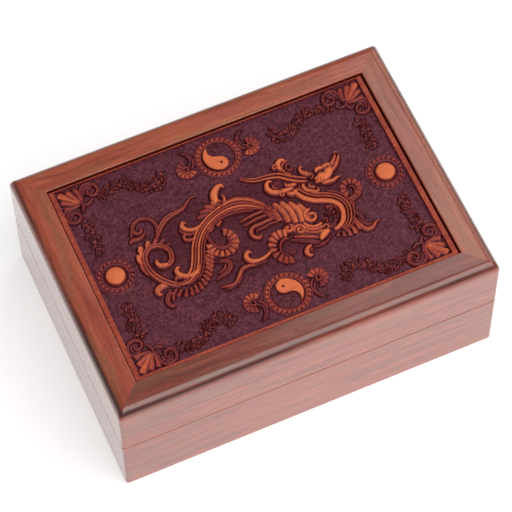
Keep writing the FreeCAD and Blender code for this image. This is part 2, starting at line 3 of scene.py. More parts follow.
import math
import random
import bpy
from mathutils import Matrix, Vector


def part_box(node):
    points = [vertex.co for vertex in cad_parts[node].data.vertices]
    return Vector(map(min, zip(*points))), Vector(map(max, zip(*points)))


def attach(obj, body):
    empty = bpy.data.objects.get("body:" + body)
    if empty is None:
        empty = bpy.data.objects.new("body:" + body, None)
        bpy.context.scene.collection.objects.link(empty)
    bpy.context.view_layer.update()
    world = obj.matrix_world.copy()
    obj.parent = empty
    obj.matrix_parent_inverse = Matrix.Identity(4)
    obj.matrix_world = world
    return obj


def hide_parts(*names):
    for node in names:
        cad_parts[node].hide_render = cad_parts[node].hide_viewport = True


bl_info = {
    "name": "Carved Card Box",
    "version": (1, 0, 0),
    "blender": (4, 5, 0),
    "location": "3D View > Sidebar > Card Box",
    "description": "Gives a wooden card box its lacquered boards, brass hinges and carved lid tile",
    "category": "Object",
}

import bmesh
import bpy
from mathutils import Matrix, Vector

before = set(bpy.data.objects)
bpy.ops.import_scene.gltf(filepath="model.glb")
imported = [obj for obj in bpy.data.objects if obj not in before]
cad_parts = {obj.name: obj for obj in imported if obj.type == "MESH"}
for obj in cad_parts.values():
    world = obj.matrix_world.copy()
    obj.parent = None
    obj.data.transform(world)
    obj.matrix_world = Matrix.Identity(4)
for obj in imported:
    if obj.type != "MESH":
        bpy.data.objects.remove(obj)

MILLIMETRE = 0.001
TILE_LOW, TILE_HIGH = (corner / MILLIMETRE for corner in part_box("carved_tile"))
BORDER_TOP = TILE_HIGH.z
GROUND = BORDER_TOP - 2.0
BORDER_WIDTH = 2.5
BACK_BORDER_WIDTH = 1.3
OVERHANG = 0.55
LEFT_BOSS = (TILE_LOW.x + 11.0, 0.8)
RIGHT_BOSS = (TILE_HIGH.x - 10.3, 0.8)
BACK_MEDALLION = (0.3, TILE_HIGH.y - 12.5)
FRONT_MEDALLION = (0.3, TILE_LOW.y + 13.4)


class StageSettings(bpy.types.PropertyGroup):
    """Where the camera stands and how bright the lamps are."""

    lens: bpy.props.FloatProperty(
        name="Lens", description="Focal length on a 36 mm sensor", default=184.41, min=1.0, unit="CAMERA"
    )
    distance: bpy.props.FloatProperty(
        name="Distance", description="From the camera to its target", default=1.1705, min=0.1, unit="LENGTH"
    )
    target: bpy.props.FloatVectorProperty(
        name="Target",
        description="Point that the camera looks at",
        default=(0.002298, 0.001747, 0.032),
        subtype="TRANSLATION",
        unit="LENGTH",
    )
    azimuth: bpy.props.FloatProperty(
        name="Azimuth", description="Camera's turn round the box", default=-0.4042, unit="ROTATION"
    )
    elevation: bpy.props.FloatProperty(
        name="Elevation", description="Camera's height above the horizon", default=1.0583, unit="ROTATION"
    )
    roll: bpy.props.FloatProperty(
        name="Roll", description="Camera's turn about its line of sight", default=-0.0156, unit="ROTATION"
    )
    overhead_power: bpy.props.FloatProperty(
        name="Overhead lamp", description="Power of the large softbox above the front", default=16.0, unit="POWER"
    )
    side_power: bpy.props.FloatProperty(
        name="Side lamp", description="Power of the panel at the back right", default=2.2, unit="POWER"
    )
    sheen_power: bpy.props.FloatProperty(
        name="Sheen lamp", description="Power of the small panel whose reflection lies on the lid", default=0.6, unit="POWER"
    )
    sky: bpy.props.FloatProperty(
        name="Room light", description="Strength of the even light all round", default=0.2, min=0.0
    )


class BoardFinish(bpy.types.PropertyGroup):
    """Colours and sheen of the lacquered boards."""

    light: bpy.props.FloatVectorProperty(
        name="Light wood", description="Palest streaks", default=(0.55, 0.150, 0.066), subtype="COLOR", min=0.0, max=1.0
    )
    middle: bpy.props.FloatVectorProperty(
        name="Middle wood", description="Main colour", default=(0.405, 0.082, 0.034), subtype="COLOR", min=0.0, max=1.0
    )
    dark: bpy.props.FloatVectorProperty(
        name="Dark wood", description="Darkest streaks", default=(0.200, 0.034, 0.016), subtype="COLOR", min=0.0, max=1.0
    )
    inner_light: bpy.props.FloatVectorProperty(
        name="Thin board, light",
        description="Palest streaks of the thin boards",
        default=(0.42, 0.22, 0.105),
        subtype="COLOR",
        min=0.0,
        max=1.0,
    )
    inner_dark: bpy.props.FloatVectorProperty(
        name="Thin board, dark",
        description="Darkest streaks of the thin boards",
        default=(0.22, 0.095, 0.045),
        subtype="COLOR",
        min=0.0,
        max=1.0,
    )
    lacquer_roughness: bpy.props.FloatProperty(
        name="Lacquer roughness", description="Softness of the lacquer's shine", default=0.15, min=0.0, max=1.0, subtype="FACTOR"
    )


class CarvingFinish(bpy.types.PropertyGroup):
    """Stain colours of the carved tile, from its grooves up to its rubbed tops."""

    groove: bpy.props.FloatVectorProperty(
        name="Grooves", description="Stain left in the grooves", default=(0.085, 0.006, 0.005), subtype="COLOR", min=0.0, max=1.0
    )
    ground: bpy.props.FloatVectorProperty(
        name="Ground", description="Stippled ground", default=(0.142, 0.032, 0.051), subtype="COLOR", min=0.0, max=1.0
    )
    low: bpy.props.FloatVectorProperty(
        name="Low carving", description="Half-rubbed carving", default=(0.345, 0.050, 0.040), subtype="COLOR", min=0.0, max=1.0
    )
    high: bpy.props.FloatVectorProperty(
        name="High carving", description="Rubbed tops", default=(0.92, 0.218, 0.082), subtype="COLOR", min=0.0, max=1.0
    )


class CarvingSizes(bpy.types.PropertyGroup):
    """Heights and widths of the carving."""

    # The outline is groove stain with painted shade round each form.
    groove_width: bpy.props.FloatProperty(
        name="Outline width", description="Dark outline cut round each form", default=0.0008, min=0.0, unit="LENGTH"
    )
    dragon_rise: bpy.props.FloatProperty(
        name="Dragon height", description="Height of the dragon's body", default=0.0017, min=0.0, unit="LENGTH"
    )
    leaf_rise: bpy.props.FloatProperty(
        name="Leaf height", description="Height of leaves and petals", default=0.0012, min=0.0, unit="LENGTH"
    )
    garland_rise: bpy.props.FloatProperty(
        name="Garland height", description="Height of the garlands", default=0.0008, min=0.0, unit="LENGTH"
    )


def add_node(tree, kind, place, **settings):
    """Adds a shader node at a place in the editor."""
    made = tree.nodes.new("ShaderNode" + kind)
    made.location = place
    for name, value in settings.items():
        setattr(made, name, value)
    return made


def connect(tree, value, socket):
    """Links an output to a socket, or sets the socket to a plain value."""
    if isinstance(value, bpy.types.NodeSocket):
        tree.links.new(value, socket)
    else:
        socket.default_value = value


def calculate(tree, operation, first, second, place, clamp=False):
    """Adds a Math node."""
    made = add_node(tree, "Math", place, operation=operation, use_clamp=clamp)
    connect(tree, first, made.inputs[0])
    connect(tree, second, made.inputs[1])
    return made.outputs[0]


def mix_colours(tree, share, first, second, place):
    """Adds a Mix node that goes from the first colour to the second."""
    made = add_node(tree, "Mix", place, data_type="RGBA")
    connect(tree, share, made.inputs[0])
    connect(tree, first, made.inputs[6])
    connect(tree, second, made.inputs[7])
    return made.outputs[2]


def spread_range(tree, value, low, high, place):
    """Maps low to high onto nought to one, smoothly."""
    made = add_node(tree, "MapRange", place, interpolation_type="SMOOTHSTEP")
    connect(tree, value, made.inputs["Value"])
    made.inputs["From Min"].default_value = low
    made.inputs["From Max"].default_value = high
    return made.outputs["Result"]


def add_noise(tree, vector, scale, detail, place, roughness=0.5):
    """Adds a Noise Texture whose coordinates are stretched by scale."""
    stretch = add_node(tree, "VectorMath", (place[0] - 180, place[1]), operation="MULTIPLY")
    connect(tree, vector, stretch.inputs[0])
    stretch.inputs[1].default_value = scale
    made = add_node(tree, "TexNoise", place)
    tree.links.new(stretch.outputs[0], made.inputs["Vector"])
    made.inputs["Scale"].default_value = 1.0
    made.inputs["Detail"].default_value = detail
    made.inputs["Roughness"].default_value = roughness
    return made.outputs[0]


def new_group(name, inputs, outputs):
    """Starts a shader node group and returns its tree, input node and output node."""
    group = bpy.data.node_groups.new(name, "ShaderNodeTree")
    for label, kind in inputs:
        group.interface.new_socket(label, in_out="INPUT", socket_type="NodeSocket" + kind)
    for label, kind in outputs:
        group.interface.new_socket(label, in_out="OUTPUT", socket_type="NodeSocket" + kind)
    return group, group.nodes.new("NodeGroupInput"), group.nodes.new("NodeGroupOutput")


def wood_figure_group():
    """Streaks, fibres and pores of wood whose grain runs along the first coordinate, in millimetres."""
    name = "Wood figure"
    if name in bpy.data.node_groups:
        return bpy.data.node_groups[name]
    group, start, end = new_group(
        name,
        (("Position", "Vector"), ("Light", "Color"), ("Middle", "Color"), ("Dark", "Color"), ("Pores", "Float")),
        (("Color", "Color"), ("Roughness", "Float"), ("Height", "Float")),
    )
    position = start.outputs["Position"]
    drift = add_noise(group, position, (0.016, 0.05, 0.05), 2.0, (-1000, 300))
    shift = calculate(group, "MULTIPLY", calculate(group, "SUBTRACT", drift, 0.5, (-820, 300)), 16.0, (-640, 300))
    sideways = add_node(group, "CombineXYZ", (-460, 300))
    group.links.new(shift, sideways.inputs["Y"])
    group.links.new(shift, sideways.inputs["Z"])
    bent = add_node(group, "VectorMath", (-280, 300), operation="ADD")
    group.links.new(position, bent.inputs[0])
    group.links.new(sideways.outputs[0], bent.inputs[1])
    streaks = add_noise(group, bent.outputs[0], (0.009, 0.34, 0.30), 4.0, (100, 300), 0.62)
    fibres = add_noise(group, bent.outputs[0], (0.05, 1.7, 1.7), 2.0, (100, 60), 0.6)
    pores = add_noise(group, bent.outputs[0], (0.16, 3.2, 3.2), 1.0, (100, -180))
    patches = add_noise(group, position, (0.02, 0.04, 0.04), 1.0, (100, -420))
    darkness = calculate(group, "MULTIPLY", spread_range(group, streaks, 0.50, 0.34, (300, 400)), 0.7, (400, 500))
    paleness = spread_range(group, streaks, 0.50, 0.68, (300, 200))
    colour = mix_colours(group, darkness, start.outputs["Middle"], start.outputs["Dark"], (500, 400))
    colour = mix_colours(group, paleness, colour, start.outputs["Light"], (700, 400))
    line = calculate(group, "ABSOLUTE", calculate(group, "SUBTRACT", streaks, 0.455, (300, 0)), 0.0, (480, 0))
    line = calculate(group, "MULTIPLY", spread_range(group, line, 0.016, 0.0, (660, 0)), 0.3, (840, 0))
    colour = mix_colours(group, line, colour, start.outputs["Dark"], (900, 400))
    fibre_share = calculate(group, "MULTIPLY", spread_range(group, fibres, 0.46, 0.70, (300, -180)), 0.55, (480, -180))
    colour = mix_colours(group, fibre_share, colour, start.outputs["Dark"], (1100, 400))
    patch_share = calculate(group, "MULTIPLY", spread_range(group, patches, 0.4, 0.7, (300, -420)), 0.35, (480, -420))
    colour = mix_colours(group, patch_share, colour, start.outputs["Light"], (1300, 400))
    tans = add_noise(group, position, (0.025, 0.17, 0.17), 3.0, (100, -800), 0.6)
    tan_share = calculate(group, "MULTIPLY", spread_range(group, tans, 0.48, 0.64, (300, -800)), 0.55, (480, -800))
    colour = mix_colours(group, tan_share, colour, (0.38, 0.132, 0.056, 1.0), (1400, 400))
    rosy = calculate(group, "MULTIPLY", spread_range(group, tans, 0.46, 0.32, (300, -950)), 0.5, (480, -950))
    colour = mix_colours(group, rosy, colour, (0.50, 0.105, 0.068, 1.0), (1450, 400))
    pore = calculate(group, "MULTIPLY", spread_range(group, pores, 0.62, 0.70, (300, -600)), start.outputs["Pores"], (480, -600))
    colour = mix_colours(group, pore, colour, start.outputs["Dark"], (1500, 400))
    group.links.new(colour, end.inputs["Color"])
    rough = calculate(group, "ADD", calculate(group, "MULTIPLY", fibres, 0.14, (1300, 0)), 0.27, (1500, 0))
    group.links.new(rough, end.inputs["Roughness"])
    relief = calculate(group, "SUBTRACT", calculate(group, "MULTIPLY", fibres, 0.5, (1300, -200)), pore, (1500, -200))
    group.links.new(relief, end.inputs["Height"])
    return group


def stained_carving_group():
    """Stain that is dark in the grooves and rubbed off the tops, by how much each place is rubbed."""
    name = "Stained carving"
    if name in bpy.data.node_groups:
        return bpy.data.node_groups[name]
    group, start, end = new_group(
        name,
        (
            ("Position", "Vector"),
            ("Rubbed", "Float"),
            ("Groove", "Color"),
            ("Ground", "Color"),
            ("Low", "Color"),
            ("High", "Color"),
        ),
        (("Color", "Color"), ("Roughness", "Float"), ("Height", "Float")),
    )
    position = start.outputs["Position"]
    stipple = add_noise(group, position, (0.95, 0.95, 0.95), 2.0, (-600, 200), 0.5)
    patches = add_noise(group, position, (0.09, 0.12, 0.1), 2.0, (-600, -50))
    grain = add_noise(group, position, (0.09, 1.3, 1.3), 2.0, (-600, -300), 0.6)
    rubbed = start.outputs["Rubbed"]
    uneven = calculate(group, "MULTIPLY", calculate(group, "SUBTRACT", stipple, 0.5, (-400, 200)), 0.8, (-220, 200))
    blotches = add_noise(group, position, (0.42, 0.42, 0.42), 2.0, (-600, -180), 0.65)
    cloudy = calculate(group, "MULTIPLY", calculate(group, "SUBTRACT", patches, 0.5, (-400, -50)), 0.3, (-220, -50))
    streaky = calculate(group, "MULTIPLY", calculate(group, "SUBTRACT", grain, 0.5, (-400, -300)), 0.30, (-220, -300))
    streaky = calculate(group, "MULTIPLY", streaky, rubbed, (-40, -300))
    amount = calculate(group, "ADD", rubbed, calculate(group, "MULTIPLY", uneven, 0.5, (-40, 200)), (140, 200))
    amount = calculate(group, "ADD", amount, cloudy, (320, 200))
    amount = calculate(group, "ADD", amount, streaky, (500, 200))
    first = spread_range(group, amount, 0.02, 0.26, (700, 300))
    second = spread_range(group, amount, 0.28, 0.58, (700, 100))
    third = spread_range(group, amount, 0.55, 1.1, (700, -100))
    speckle = calculate(group, "ADD", calculate(group, "MULTIPLY", stipple, 0.65, (700, 600)), calculate(group, "MULTIPLY", blotches, 0.35, (700, 500)), (800, 500))
    ground = mix_colours(group, spread_range(group, speckle, 0.51, 0.38, (860, 600)), start.outputs["Ground"], (0.084, 0.017, 0.029, 1.0), (880, 500))
    ground = mix_colours(group, spread_range(group, speckle, 0.52, 0.66, (860, 700)), ground, (0.205, 0.056, 0.078, 1.0), (880, 400))
    # The ground is darker towards the middle of the tile.
    flattened = add_node(group, "VectorMath", (500, 900), operation="MULTIPLY")
    group.links.new(position, flattened.inputs[0])
    flattened.inputs[1].default_value = (0.0165, 0.034, 0.0)
    away = add_node(group, "VectorMath", (660, 900), operation="LENGTH")
    group.links.new(flattened.outputs[0], away.inputs[0])
    darker_middle = calculate(group, "MULTIPLY", spread_range(group, away.outputs["Value"], 1.0, 0.6, (800, 900)), 0.5, (860, 900))
    ground = mix_colours(group, darker_middle, ground, (0.070, 0.004, 0.012, 1.0), (880, 350))
    colour = mix_colours(group, first, start.outputs["Groove"], ground, (900, 300))
    colour = mix_colours(group, second, colour, start.outputs["Low"], (1100, 300))
    colour = mix_colours(group, third, colour, start.outputs["High"], (1300, 300))
    group.links.new(colour, end.inputs["Color"])
    rough = calculate(group, "SUBTRACT", 0.52, calculate(group, "MULTIPLY", amount, 0.16, (900, -200)), (1100, -200))
    group.links.new(rough, end.inputs["Roughness"])
    group.links.new(stipple, end.inputs["Height"])
    return group


def start_material(name):
    """A new material's tree with its Principled node, its Texture Coordinate node and a Mapping node in millimetres."""
    material = bpy.data.materials.new(name)
    material.use_nodes = True
    tree = material.node_tree
    surface = tree.nodes["Principled BSDF"]
    place = add_node(tree, "TexCoord", (-1100, 0))
    mapping = add_node(tree, "Mapping", (-900, 0))
    tree.links.new(place.outputs["Object"], mapping.inputs["Vector"])
    mapping.inputs["Scale"].default_value = (1000.0, 1000.0, 1000.0)
    return material, tree, surface, mapping


def add_bump(tree, height, surface, strength, distance):
    """Adds a Bump node that feeds the surface's normal."""
    bump = add_node(tree, "Bump", (-250, -350))
    bump.inputs["Strength"].default_value = strength
    bump.inputs["Distance"].default_value = distance
    tree.links.new(height, bump.inputs["Height"])
    tree.links.new(bump.outputs["Normal"], surface.inputs["Normal"])


def painted_recess_shade(tree, colour, axis, edge):
    """Paints shade on a lid board's inner wall round the sunk tile, where its distance from the middle is under edge.
    """
    place = add_node(tree, "TexCoord", (-1100, 500))
    parts = add_node(tree, "SeparateXYZ", (-900, 500))
    tree.links.new(place.outputs["Object"], parts.inputs[0])
    inward = calculate(tree, "ABSOLUTE", parts.outputs[axis], 0.0, (-720, 600))
    inward = spread_range(tree, inward, edge + 0.0004, edge, (-540, 600))
    under = spread_range(tree, parts.outputs["Z"], 0.0665, 0.0661, (-540, 400))
    over = spread_range(tree, parts.outputs["Z"], 0.0600, 0.0606, (-540, 200))
    share = calculate(tree, "MULTIPLY", calculate(tree, "MULTIPLY", inward, under, (-360, 500)), over, (-200, 500))
    # Painted shade: the inner wall goes nearly black-red inside the recess.
    return mix_colours(tree, share, colour, (0.140, 0.012, 0.009, 1.0), (-40, 400))


def paint_lid_board_light(tree, colour, dark, painted_top_light):
    """Paints a dark reflection band, broken in streaks, along the rounded outer edge, and paints light and shade on the
    top with a tint.
    """
    place = add_node(tree, "TexCoord", (-1100, 900))
    height = add_node(tree, "SeparateXYZ", (-900, 900))
    tree.links.new(place.outputs["Object"], height.inputs[0])
    streaks = add_noise(tree, place.outputs["Object"], (14.0, 14.0, 300.0), 2.0, (-720, 1000))
    # Painted dark reflection: the rounded edge darkens in the band that mirrors the dim room just above the horizon.
    share = calculate(tree, "MULTIPLY", spread_range(tree, height.outputs["Z"], 0.0634, 0.0650, (-540, 1000)),
                      spread_range(tree, height.outputs["Z"], 0.0668, 0.0660, (-540, 800)), (-360, 900))
    broken = calculate(tree, "ADD", calculate(tree, "MULTIPLY", spread_range(tree, streaks, 0.35, 0.6, (-540, 1200)), 0.5, (-360, 1200)), 0.45, (-200, 1200))
    share = calculate(tree, "MULTIPLY", share, broken, (-200, 900))
    colour = mix_colours(tree, share, colour, (*dark, 1.0), (100, 900))
    # Painted light and shade: the top of the board is tinted apart from its faces.
    top_with_painted_light = mix_colours(tree, 1.0, colour, (*painted_top_light, 1.0), (260, 900))
    top_with_painted_light.node.blend_type = "MULTIPLY"
    return mix_colours(tree, spread_range(tree, height.outputs["Z"], 0.0655, 0.0669, (100, 700)), colour, top_with_painted_light, (420, 900))


def board_material(name, turn, offset, light, middle, dark, pores, coat, coat_roughness, painted_top_light=(1.0, 1.0, 1.0)):
    """Wood of one board: turn lays the grain along it, and offset makes its figure its own."""
    material, tree, surface, mapping = start_material(name)
    mapping.inputs["Rotation"].default_value = turn
    mapping.inputs["Location"].default_value = offset
    figure = add_node(tree, "Group", (-650, 0), node_tree=wood_figure_group())
    tree.links.new(mapping.outputs["Vector"], figure.inputs["Position"])
    figure.inputs["Light"].default_value = (*light, 1.0)
    figure.inputs["Middle"].default_value = (*middle, 1.0)
    figure.inputs["Dark"].default_value = (*dark, 1.0)
    figure.inputs["Pores"].default_value = pores
    colour = figure.outputs["Color"]
    if name.startswith("lid_") and name.endswith("_wall"):
        low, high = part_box(name)
        axis = "X" if turn[2] else "Y"
        edge = min(abs(getattr(low, axis.lower())), abs(getattr(high, axis.lower())))
        # Painted dark reflection along the rounded edge, and painted light and shade on the top.
        colour = paint_lid_board_light(tree, colour, (0.075, 0.012, 0.008), painted_top_light)
        # Painted shade on the inner wall round the sunk tile.
        colour = painted_recess_shade(tree, colour, axis, edge)
    tree.links.new(colour, surface.inputs["Base Color"])
    tree.links.new(figure.outputs["Roughness"], surface.inputs["Roughness"])
    surface.inputs["Coat Weight"].default_value = coat
    surface.inputs["Coat Roughness"].default_value = coat_roughness
    add_bump(tree, figure.outputs["Height"], surface, 0.25, 0.0001)
    return material


def carving_material():
    """Stained and rubbed wood of the carved tile."""
    name = "stained_carving"
    if name in bpy.data.materials:
        return bpy.data.materials[name]
    finish = bpy.context.scene.carving_finish
    material, tree, surface, mapping = start_material(name)
    rubbed = add_node(tree, "Attribute", (-900, 250), attribute_name="rubbed")
    stain = add_node(tree, "Group", (-650, 0), node_tree=stained_carving_group())
    tree.links.new(mapping.outputs["Vector"], stain.inputs["Position"])
    tree.links.new(rubbed.outputs["Fac"], stain.inputs["Rubbed"])
    for label in ("Groove", "Ground", "Low", "High"):
        stain.inputs[label].default_value = (*getattr(finish, label.lower()), 1.0)
    tree.links.new(stain.outputs["Color"], surface.inputs["Base Color"])
    tree.links.new(stain.outputs["Roughness"], surface.inputs["Roughness"])
    surface.inputs["Specular IOR Level"].default_value = 0.15
    surface.inputs["Coat Weight"].default_value = 0.06
    surface.inputs["Coat Roughness"].default_value = 0.3
    add_bump(tree, stain.outputs["Height"], surface, 0.8, 0.0004)
    return material


def brass_material():
    """Rolled brass with fine scratches and a little tarnish."""
    material, tree, surface, mapping = start_material("brass")
    scratches = add_noise(tree, mapping.outputs["Vector"], (0.15, 6.0, 6.0), 2.0, (-600, 100))
    tarnish = add_noise(tree, mapping.outputs["Vector"], (0.35, 0.35, 0.35), 3.0, (-600, -150))
    share = spread_range(tree, tarnish, 0.45, 0.75, (-400, -150))
    colour = mix_colours(tree, share, (0.80, 0.56, 0.24, 1.0), (0.46, 0.29, 0.12, 1.0), (-200, 100))
    tree.links.new(colour, surface.inputs["Base Color"])
    rough = calculate(tree, "ADD", calculate(tree, "MULTIPLY", scratches, 0.25, (-400, 250)), 0.16, (-200, 300))
    tree.links.new(rough, surface.inputs["Roughness"])
    surface.inputs["Metallic"].default_value = 1.0
    add_bump(tree, scratches, surface, 0.2, 0.00005)
    return material


def give_material(node_name, material):
    """Puts one material on a frame node."""
    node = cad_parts[node_name]
    for slot in node.material_slots:
        slot.material = material


def trace(knots, spacing):
    """Runs a smooth line through knots, and returns samples of it about spacing apart."""
    ends = [knots[0], *knots, knots[-1]]
    fine = []
    for before, start, stop, after in zip(ends, ends[1:], ends[2:], ends[3:]):
        for step in range(16):
            s = step / 16
            fine.append(
                tuple(
                    0.5 * (2 * b + (c - a) * s + (2 * a - 5 * b + 4 * c - d) * s**2 + (3 * b - a - 3 * c + d) * s**3)
                    for a, b, c, d in zip(before, start, stop, after)
                )
            )
    fine.append(tuple(knots[-1]))
    along = [0.0]
    for one, other in zip(fine, fine[1:]):
        along.append(along[-1] + math.dist(one[:2], other[:2]))
    count = max(4, math.ceil(along[-1] / spacing))
    samples = []
    place = 0
    for number in range(count + 1):
        wanted = along[-1] * number / count
        while place < len(along) - 2 and along[place + 1] < wanted:
            place += 1
        span = along[place + 1] - along[place]
        share = (wanted - along[place]) / span if span > 0 else 0.0
        samples.append([a + (b - a) * share for a, b in zip(fine[place], fine[place + 1])])
    return samples


def new_carving():
    """An empty mesh in millimetres with a layer for how much each place is rubbed."""
    carving = bmesh.new()
    carving.verts.layers.float.new("rubbed")
    return carving


def join(carving, part):
    """Adds a finished part to a larger carving."""
    scrap = bpy.data.meshes.new("scrap")
    part.to_mesh(scrap)
    part.free()
    carving.from_mesh(scrap)
    bpy.data.meshes.remove(scrap)


def stroke(carving, knots, ridges=1, tone=0.9, spacing=0.7, lean=0.0, outline=None):
    """A raised form swept along knots of (x, y, half width, height), fluted into ridges, with a dark outline of groove
    stain and painted shade.

    lean above nought raises its left side, and below nought its right side.
    """
    if outline is None:
        outline = bpy.context.scene.carving_sizes.groove_width / MILLIMETRE
    line = trace(knots, spacing)
    steps = len(line) - 1
    across = 6 if ridges == 1 else 4 * ridges
    columns = across + 3
    part = new_carving()
    rubbed = part.verts.layers.float["rubbed"]
    made = bmesh.ops.create_grid(part, x_segments=steps, y_segments=columns, size=0.5)["verts"]
    for vert in made:
        row = round((vert.co.x + 0.5) * steps)
        column = round((vert.co.y + 0.5) * columns)
        x, y, half_width, height = line[row]
        before, after = line[max(row - 1, 0)], line[min(row + 1, steps)]
        heading = math.atan2(after[1] - before[1], after[0] - before[0])
        if row in (0, steps):
            vert.co = (x, y, GROUND - 0.03)
            continue
        closeness = min(row, steps - row) * spacing
        ends = min(1.0, 0.45 + row * spacing / 2.5, 0.75 + (steps - row) * spacing / 2.5)
        edge = outline * min(1.0, closeness / 0.8)
        # Outline: flat, unrubbed ground round the form, groove stain with painted shade at its foot.
        if column in (0, columns):
            offset, level, wear = -half_width - edge, -0.03, 0.0
        elif column == columns - 1:
            offset, level, wear = half_width + edge, -0.03, 0.0
        else:
            side = 2 * (column - 1) / across - 1
            crown = math.sqrt(max(0.0, 1 - abs(side) ** 3.2))
            flute = abs(math.sin(0.5 * math.pi * ridges * (side + 1)))
            if ridges > 1:
                crown *= 0.6 + 0.4 * flute
            crown *= max(0.0, 1 - lean * side) / (1 + abs(lean))
            offset, level = half_width * side, 0.08 + height * crown
            wear = tone * crown**0.8 * ends
            if ridges > 1:
                wear *= 0.3 + 0.7 * flute
        vert.co = (x - offset * math.sin(heading), y + offset * math.cos(heading), GROUND + level)
        vert[rubbed] = wear
    bmesh.ops.remove_doubles(part, verts=made, dist=0.0005)
    join(carving, part)


def curl(centre, first_angle, last_angle, first_radius, last_radius, half_width, height, end_width=None, count=None):
    """Knots of a spiral from its outer to its inner end, angles in degrees."""
    count = count or max(4, round(abs(last_angle - first_angle) / 40))
    end_width = half_width if end_width is None else end_width
    knots = []
    for number in range(count + 1):
        share = number / count
        angle = math.radians(first_angle + (last_angle - first_angle) * share)
        radius = first_radius + (last_radius - first_radius) * share
        knots.append(
            (
                centre[0] + radius * math.cos(angle),
                centre[1] + radius * math.sin(angle),
                half_width + (end_width - half_width) * share,
                height,
            )
        )
    return knots


POINTED = ((0, 0.4, 0.6), (0.25, 0.75, 0.9), (0.6, 1.0, 1.0), (0.85, 0.8, 0.9), (1, 0.1, 0.3))
BLUNT = ((0, 0.3, 0.5), (0.3, 0.6, 0.8), (0.65, 0.95, 1.0), (0.86, 1.0, 1.0), (0.97, 0.75, 0.8), (1, 0.45, 0.5))
SLAB = ((0, 0.6, 0.6), (0.15, 0.9, 0.9), (0.5, 1.0, 1.0), (0.85, 0.95, 0.95), (0.97, 0.7, 0.7), (1, 0.4, 0.4))
WEDGE = ((0, 0.3, 0.6), (0.3, 0.55, 0.9), (0.7, 0.86, 1.0), (0.9, 0.98, 0.95), (0.98, 0.85, 0.7), (1, 0.6, 0.4))


def ribbon(carving, tone, ridges, rise, *knots, spacing=0.5):
    """A stroke of one height along knots of (x, y, half width), lower at both ends."""
    last = len(knots) - 1
    line = [(x, y, wide, rise * (0.4 if number in (0, last) else 1.0)) for number, (x, y, wide) in enumerate(knots)]
    stroke(carving, line, ridges=ridges, tone=tone, spacing=spacing)


def petal(carving, root, tip, half_width, height, bend=0.0, tone=0.85, lean=0.25, ridges=1, shape=POINTED):
    """A leaf or petal from its root to its tip, bent sideways by bend."""
    (x, y), (u, v) = root, tip
    across = (-(v - y), u - x)
    knots = []
    for share, wide, high in shape:
        sag = bend * 4 * share * (1 - share)
        knots.append(
            (
                x + (u - x) * share + across[0] * sag,
                y + (v - y) * share + across[1] * sag,
                half_width * wide,
                height * high,
            )
        )
    stroke(carving, knots, ridges=ridges, tone=tone, spacing=0.45, lean=lean)


def spray(carving, centre, first_angle, last_angle, inner, outer, count, height, tone, end_tone, bend=0.0):
    """Wedge-shaped petals side by side round a centre, angles in degrees; inner and outer are radii along x and y."""
    step = (last_angle - first_angle) / (count - 1)
    for number in range(count):
        angle = math.radians(first_angle + step * number)
        cosine, sine = math.cos(angle), math.sin(angle)
        root = (centre[0] + inner[0] * cosine, centre[1] + inner[1] * sine)
        tip = (centre[0] + outer[0] * cosine, centre[1] + outer[1] * sine)
        wide = 0.5 * math.radians(abs(step)) * math.dist(tip, centre) + 0.08
        share = number / (count - 1)
        petal(carving, root, tip, wide, height, bend=bend, tone=tone + (end_tone - tone) * share, lean=-0.2, shape=WEDGE)


def alongside(knots, share, width):
    """The same line moved to its left by a share of its half width, and made narrower."""
    moved = []
    for number, (x, y, half_width, height) in enumerate(knots):
        before, after = knots[max(number - 1, 0)], knots[min(number + 1, len(knots) - 1)]
        heading = math.atan2(after[1] - before[1], after[0] - before[0])
        offset = half_width * share
        moved.append((x - offset * math.sin(heading), y + offset * math.cos(heading), half_width * width, height))
    return moved


def bead(carving, x, y, radius, rise, tone, base=0.0):
    """A small half-sunk ball."""
    part = new_carving()
    rubbed = part.verts.layers.float["rubbed"]
    place = Matrix.Translation((x, y, GROUND + base)) @ Matrix.Diagonal((radius, radius, rise, 1.0))
    for vert in bmesh.ops.create_uvsphere(part, u_segments=8, v_segments=6, radius=1.0, matrix=place)["verts"]:
        share = (vert.co.z - GROUND - base) / rise
        vert[rubbed] = tone * max(0.0, share) ** 1.2
    join(carving, part)


def wreath(carving, centre, radius, count, length, rise, tone):
    """Small slanting leaves in a circle."""
    for number in range(count):
        angle = math.tau * number / count
        heading = angle + math.pi / 2 + 0.6
        middle = (centre[0] + radius * math.cos(angle), centre[1] + radius * math.sin(angle))
        half = (0.5 * length * math.cos(heading), 0.5 * length * math.sin(heading))
        leaf = [
            (middle[0] - half[0], middle[1] - half[1], 0.5, 0.3),
            (*middle, 0.95, rise + 0.2),
            (middle[0] + half[0], middle[1] + half[1], 0.5, 0.3),
        ]
        stroke(carving, leaf, tone=tone, spacing=0.35, outline=0.1)


def turn(carving, centre, profile, steps=56):
    """A round form from a profile of (radius, height over the ground, how rubbed), closed underneath."""
    rubbed = carving.verts.layers.float["rubbed"]
    verts = []
    for radius, level, wear in [*profile, (profile[-1][0], -0.4, 0.0), (0.0, -0.4, 0.0)]:
        vert = carving.verts.new((centre[0] + radius, centre[1], GROUND + level))
        vert[rubbed] = wear
        verts.append(vert)
    edges = [carving.edges.new(pair) for pair in zip(verts, verts[1:])]
    made = bmesh.ops.spin(
        carving,
        geom=[*verts, *edges],
        cent=(centre[0], centre[1], GROUND),
        axis=(0.0, 0.0, 1.0),
        angle=math.tau,
        steps=steps,
        use_merge=True,
        use_duplicate=False,
    )
    del made
    nearby = [v for v in carving.verts if math.dist(v.co.xy, centre) < profile[-1][0] + 0.01]
    bmesh.ops.remove_doubles(carving, verts=nearby, dist=0.0005)


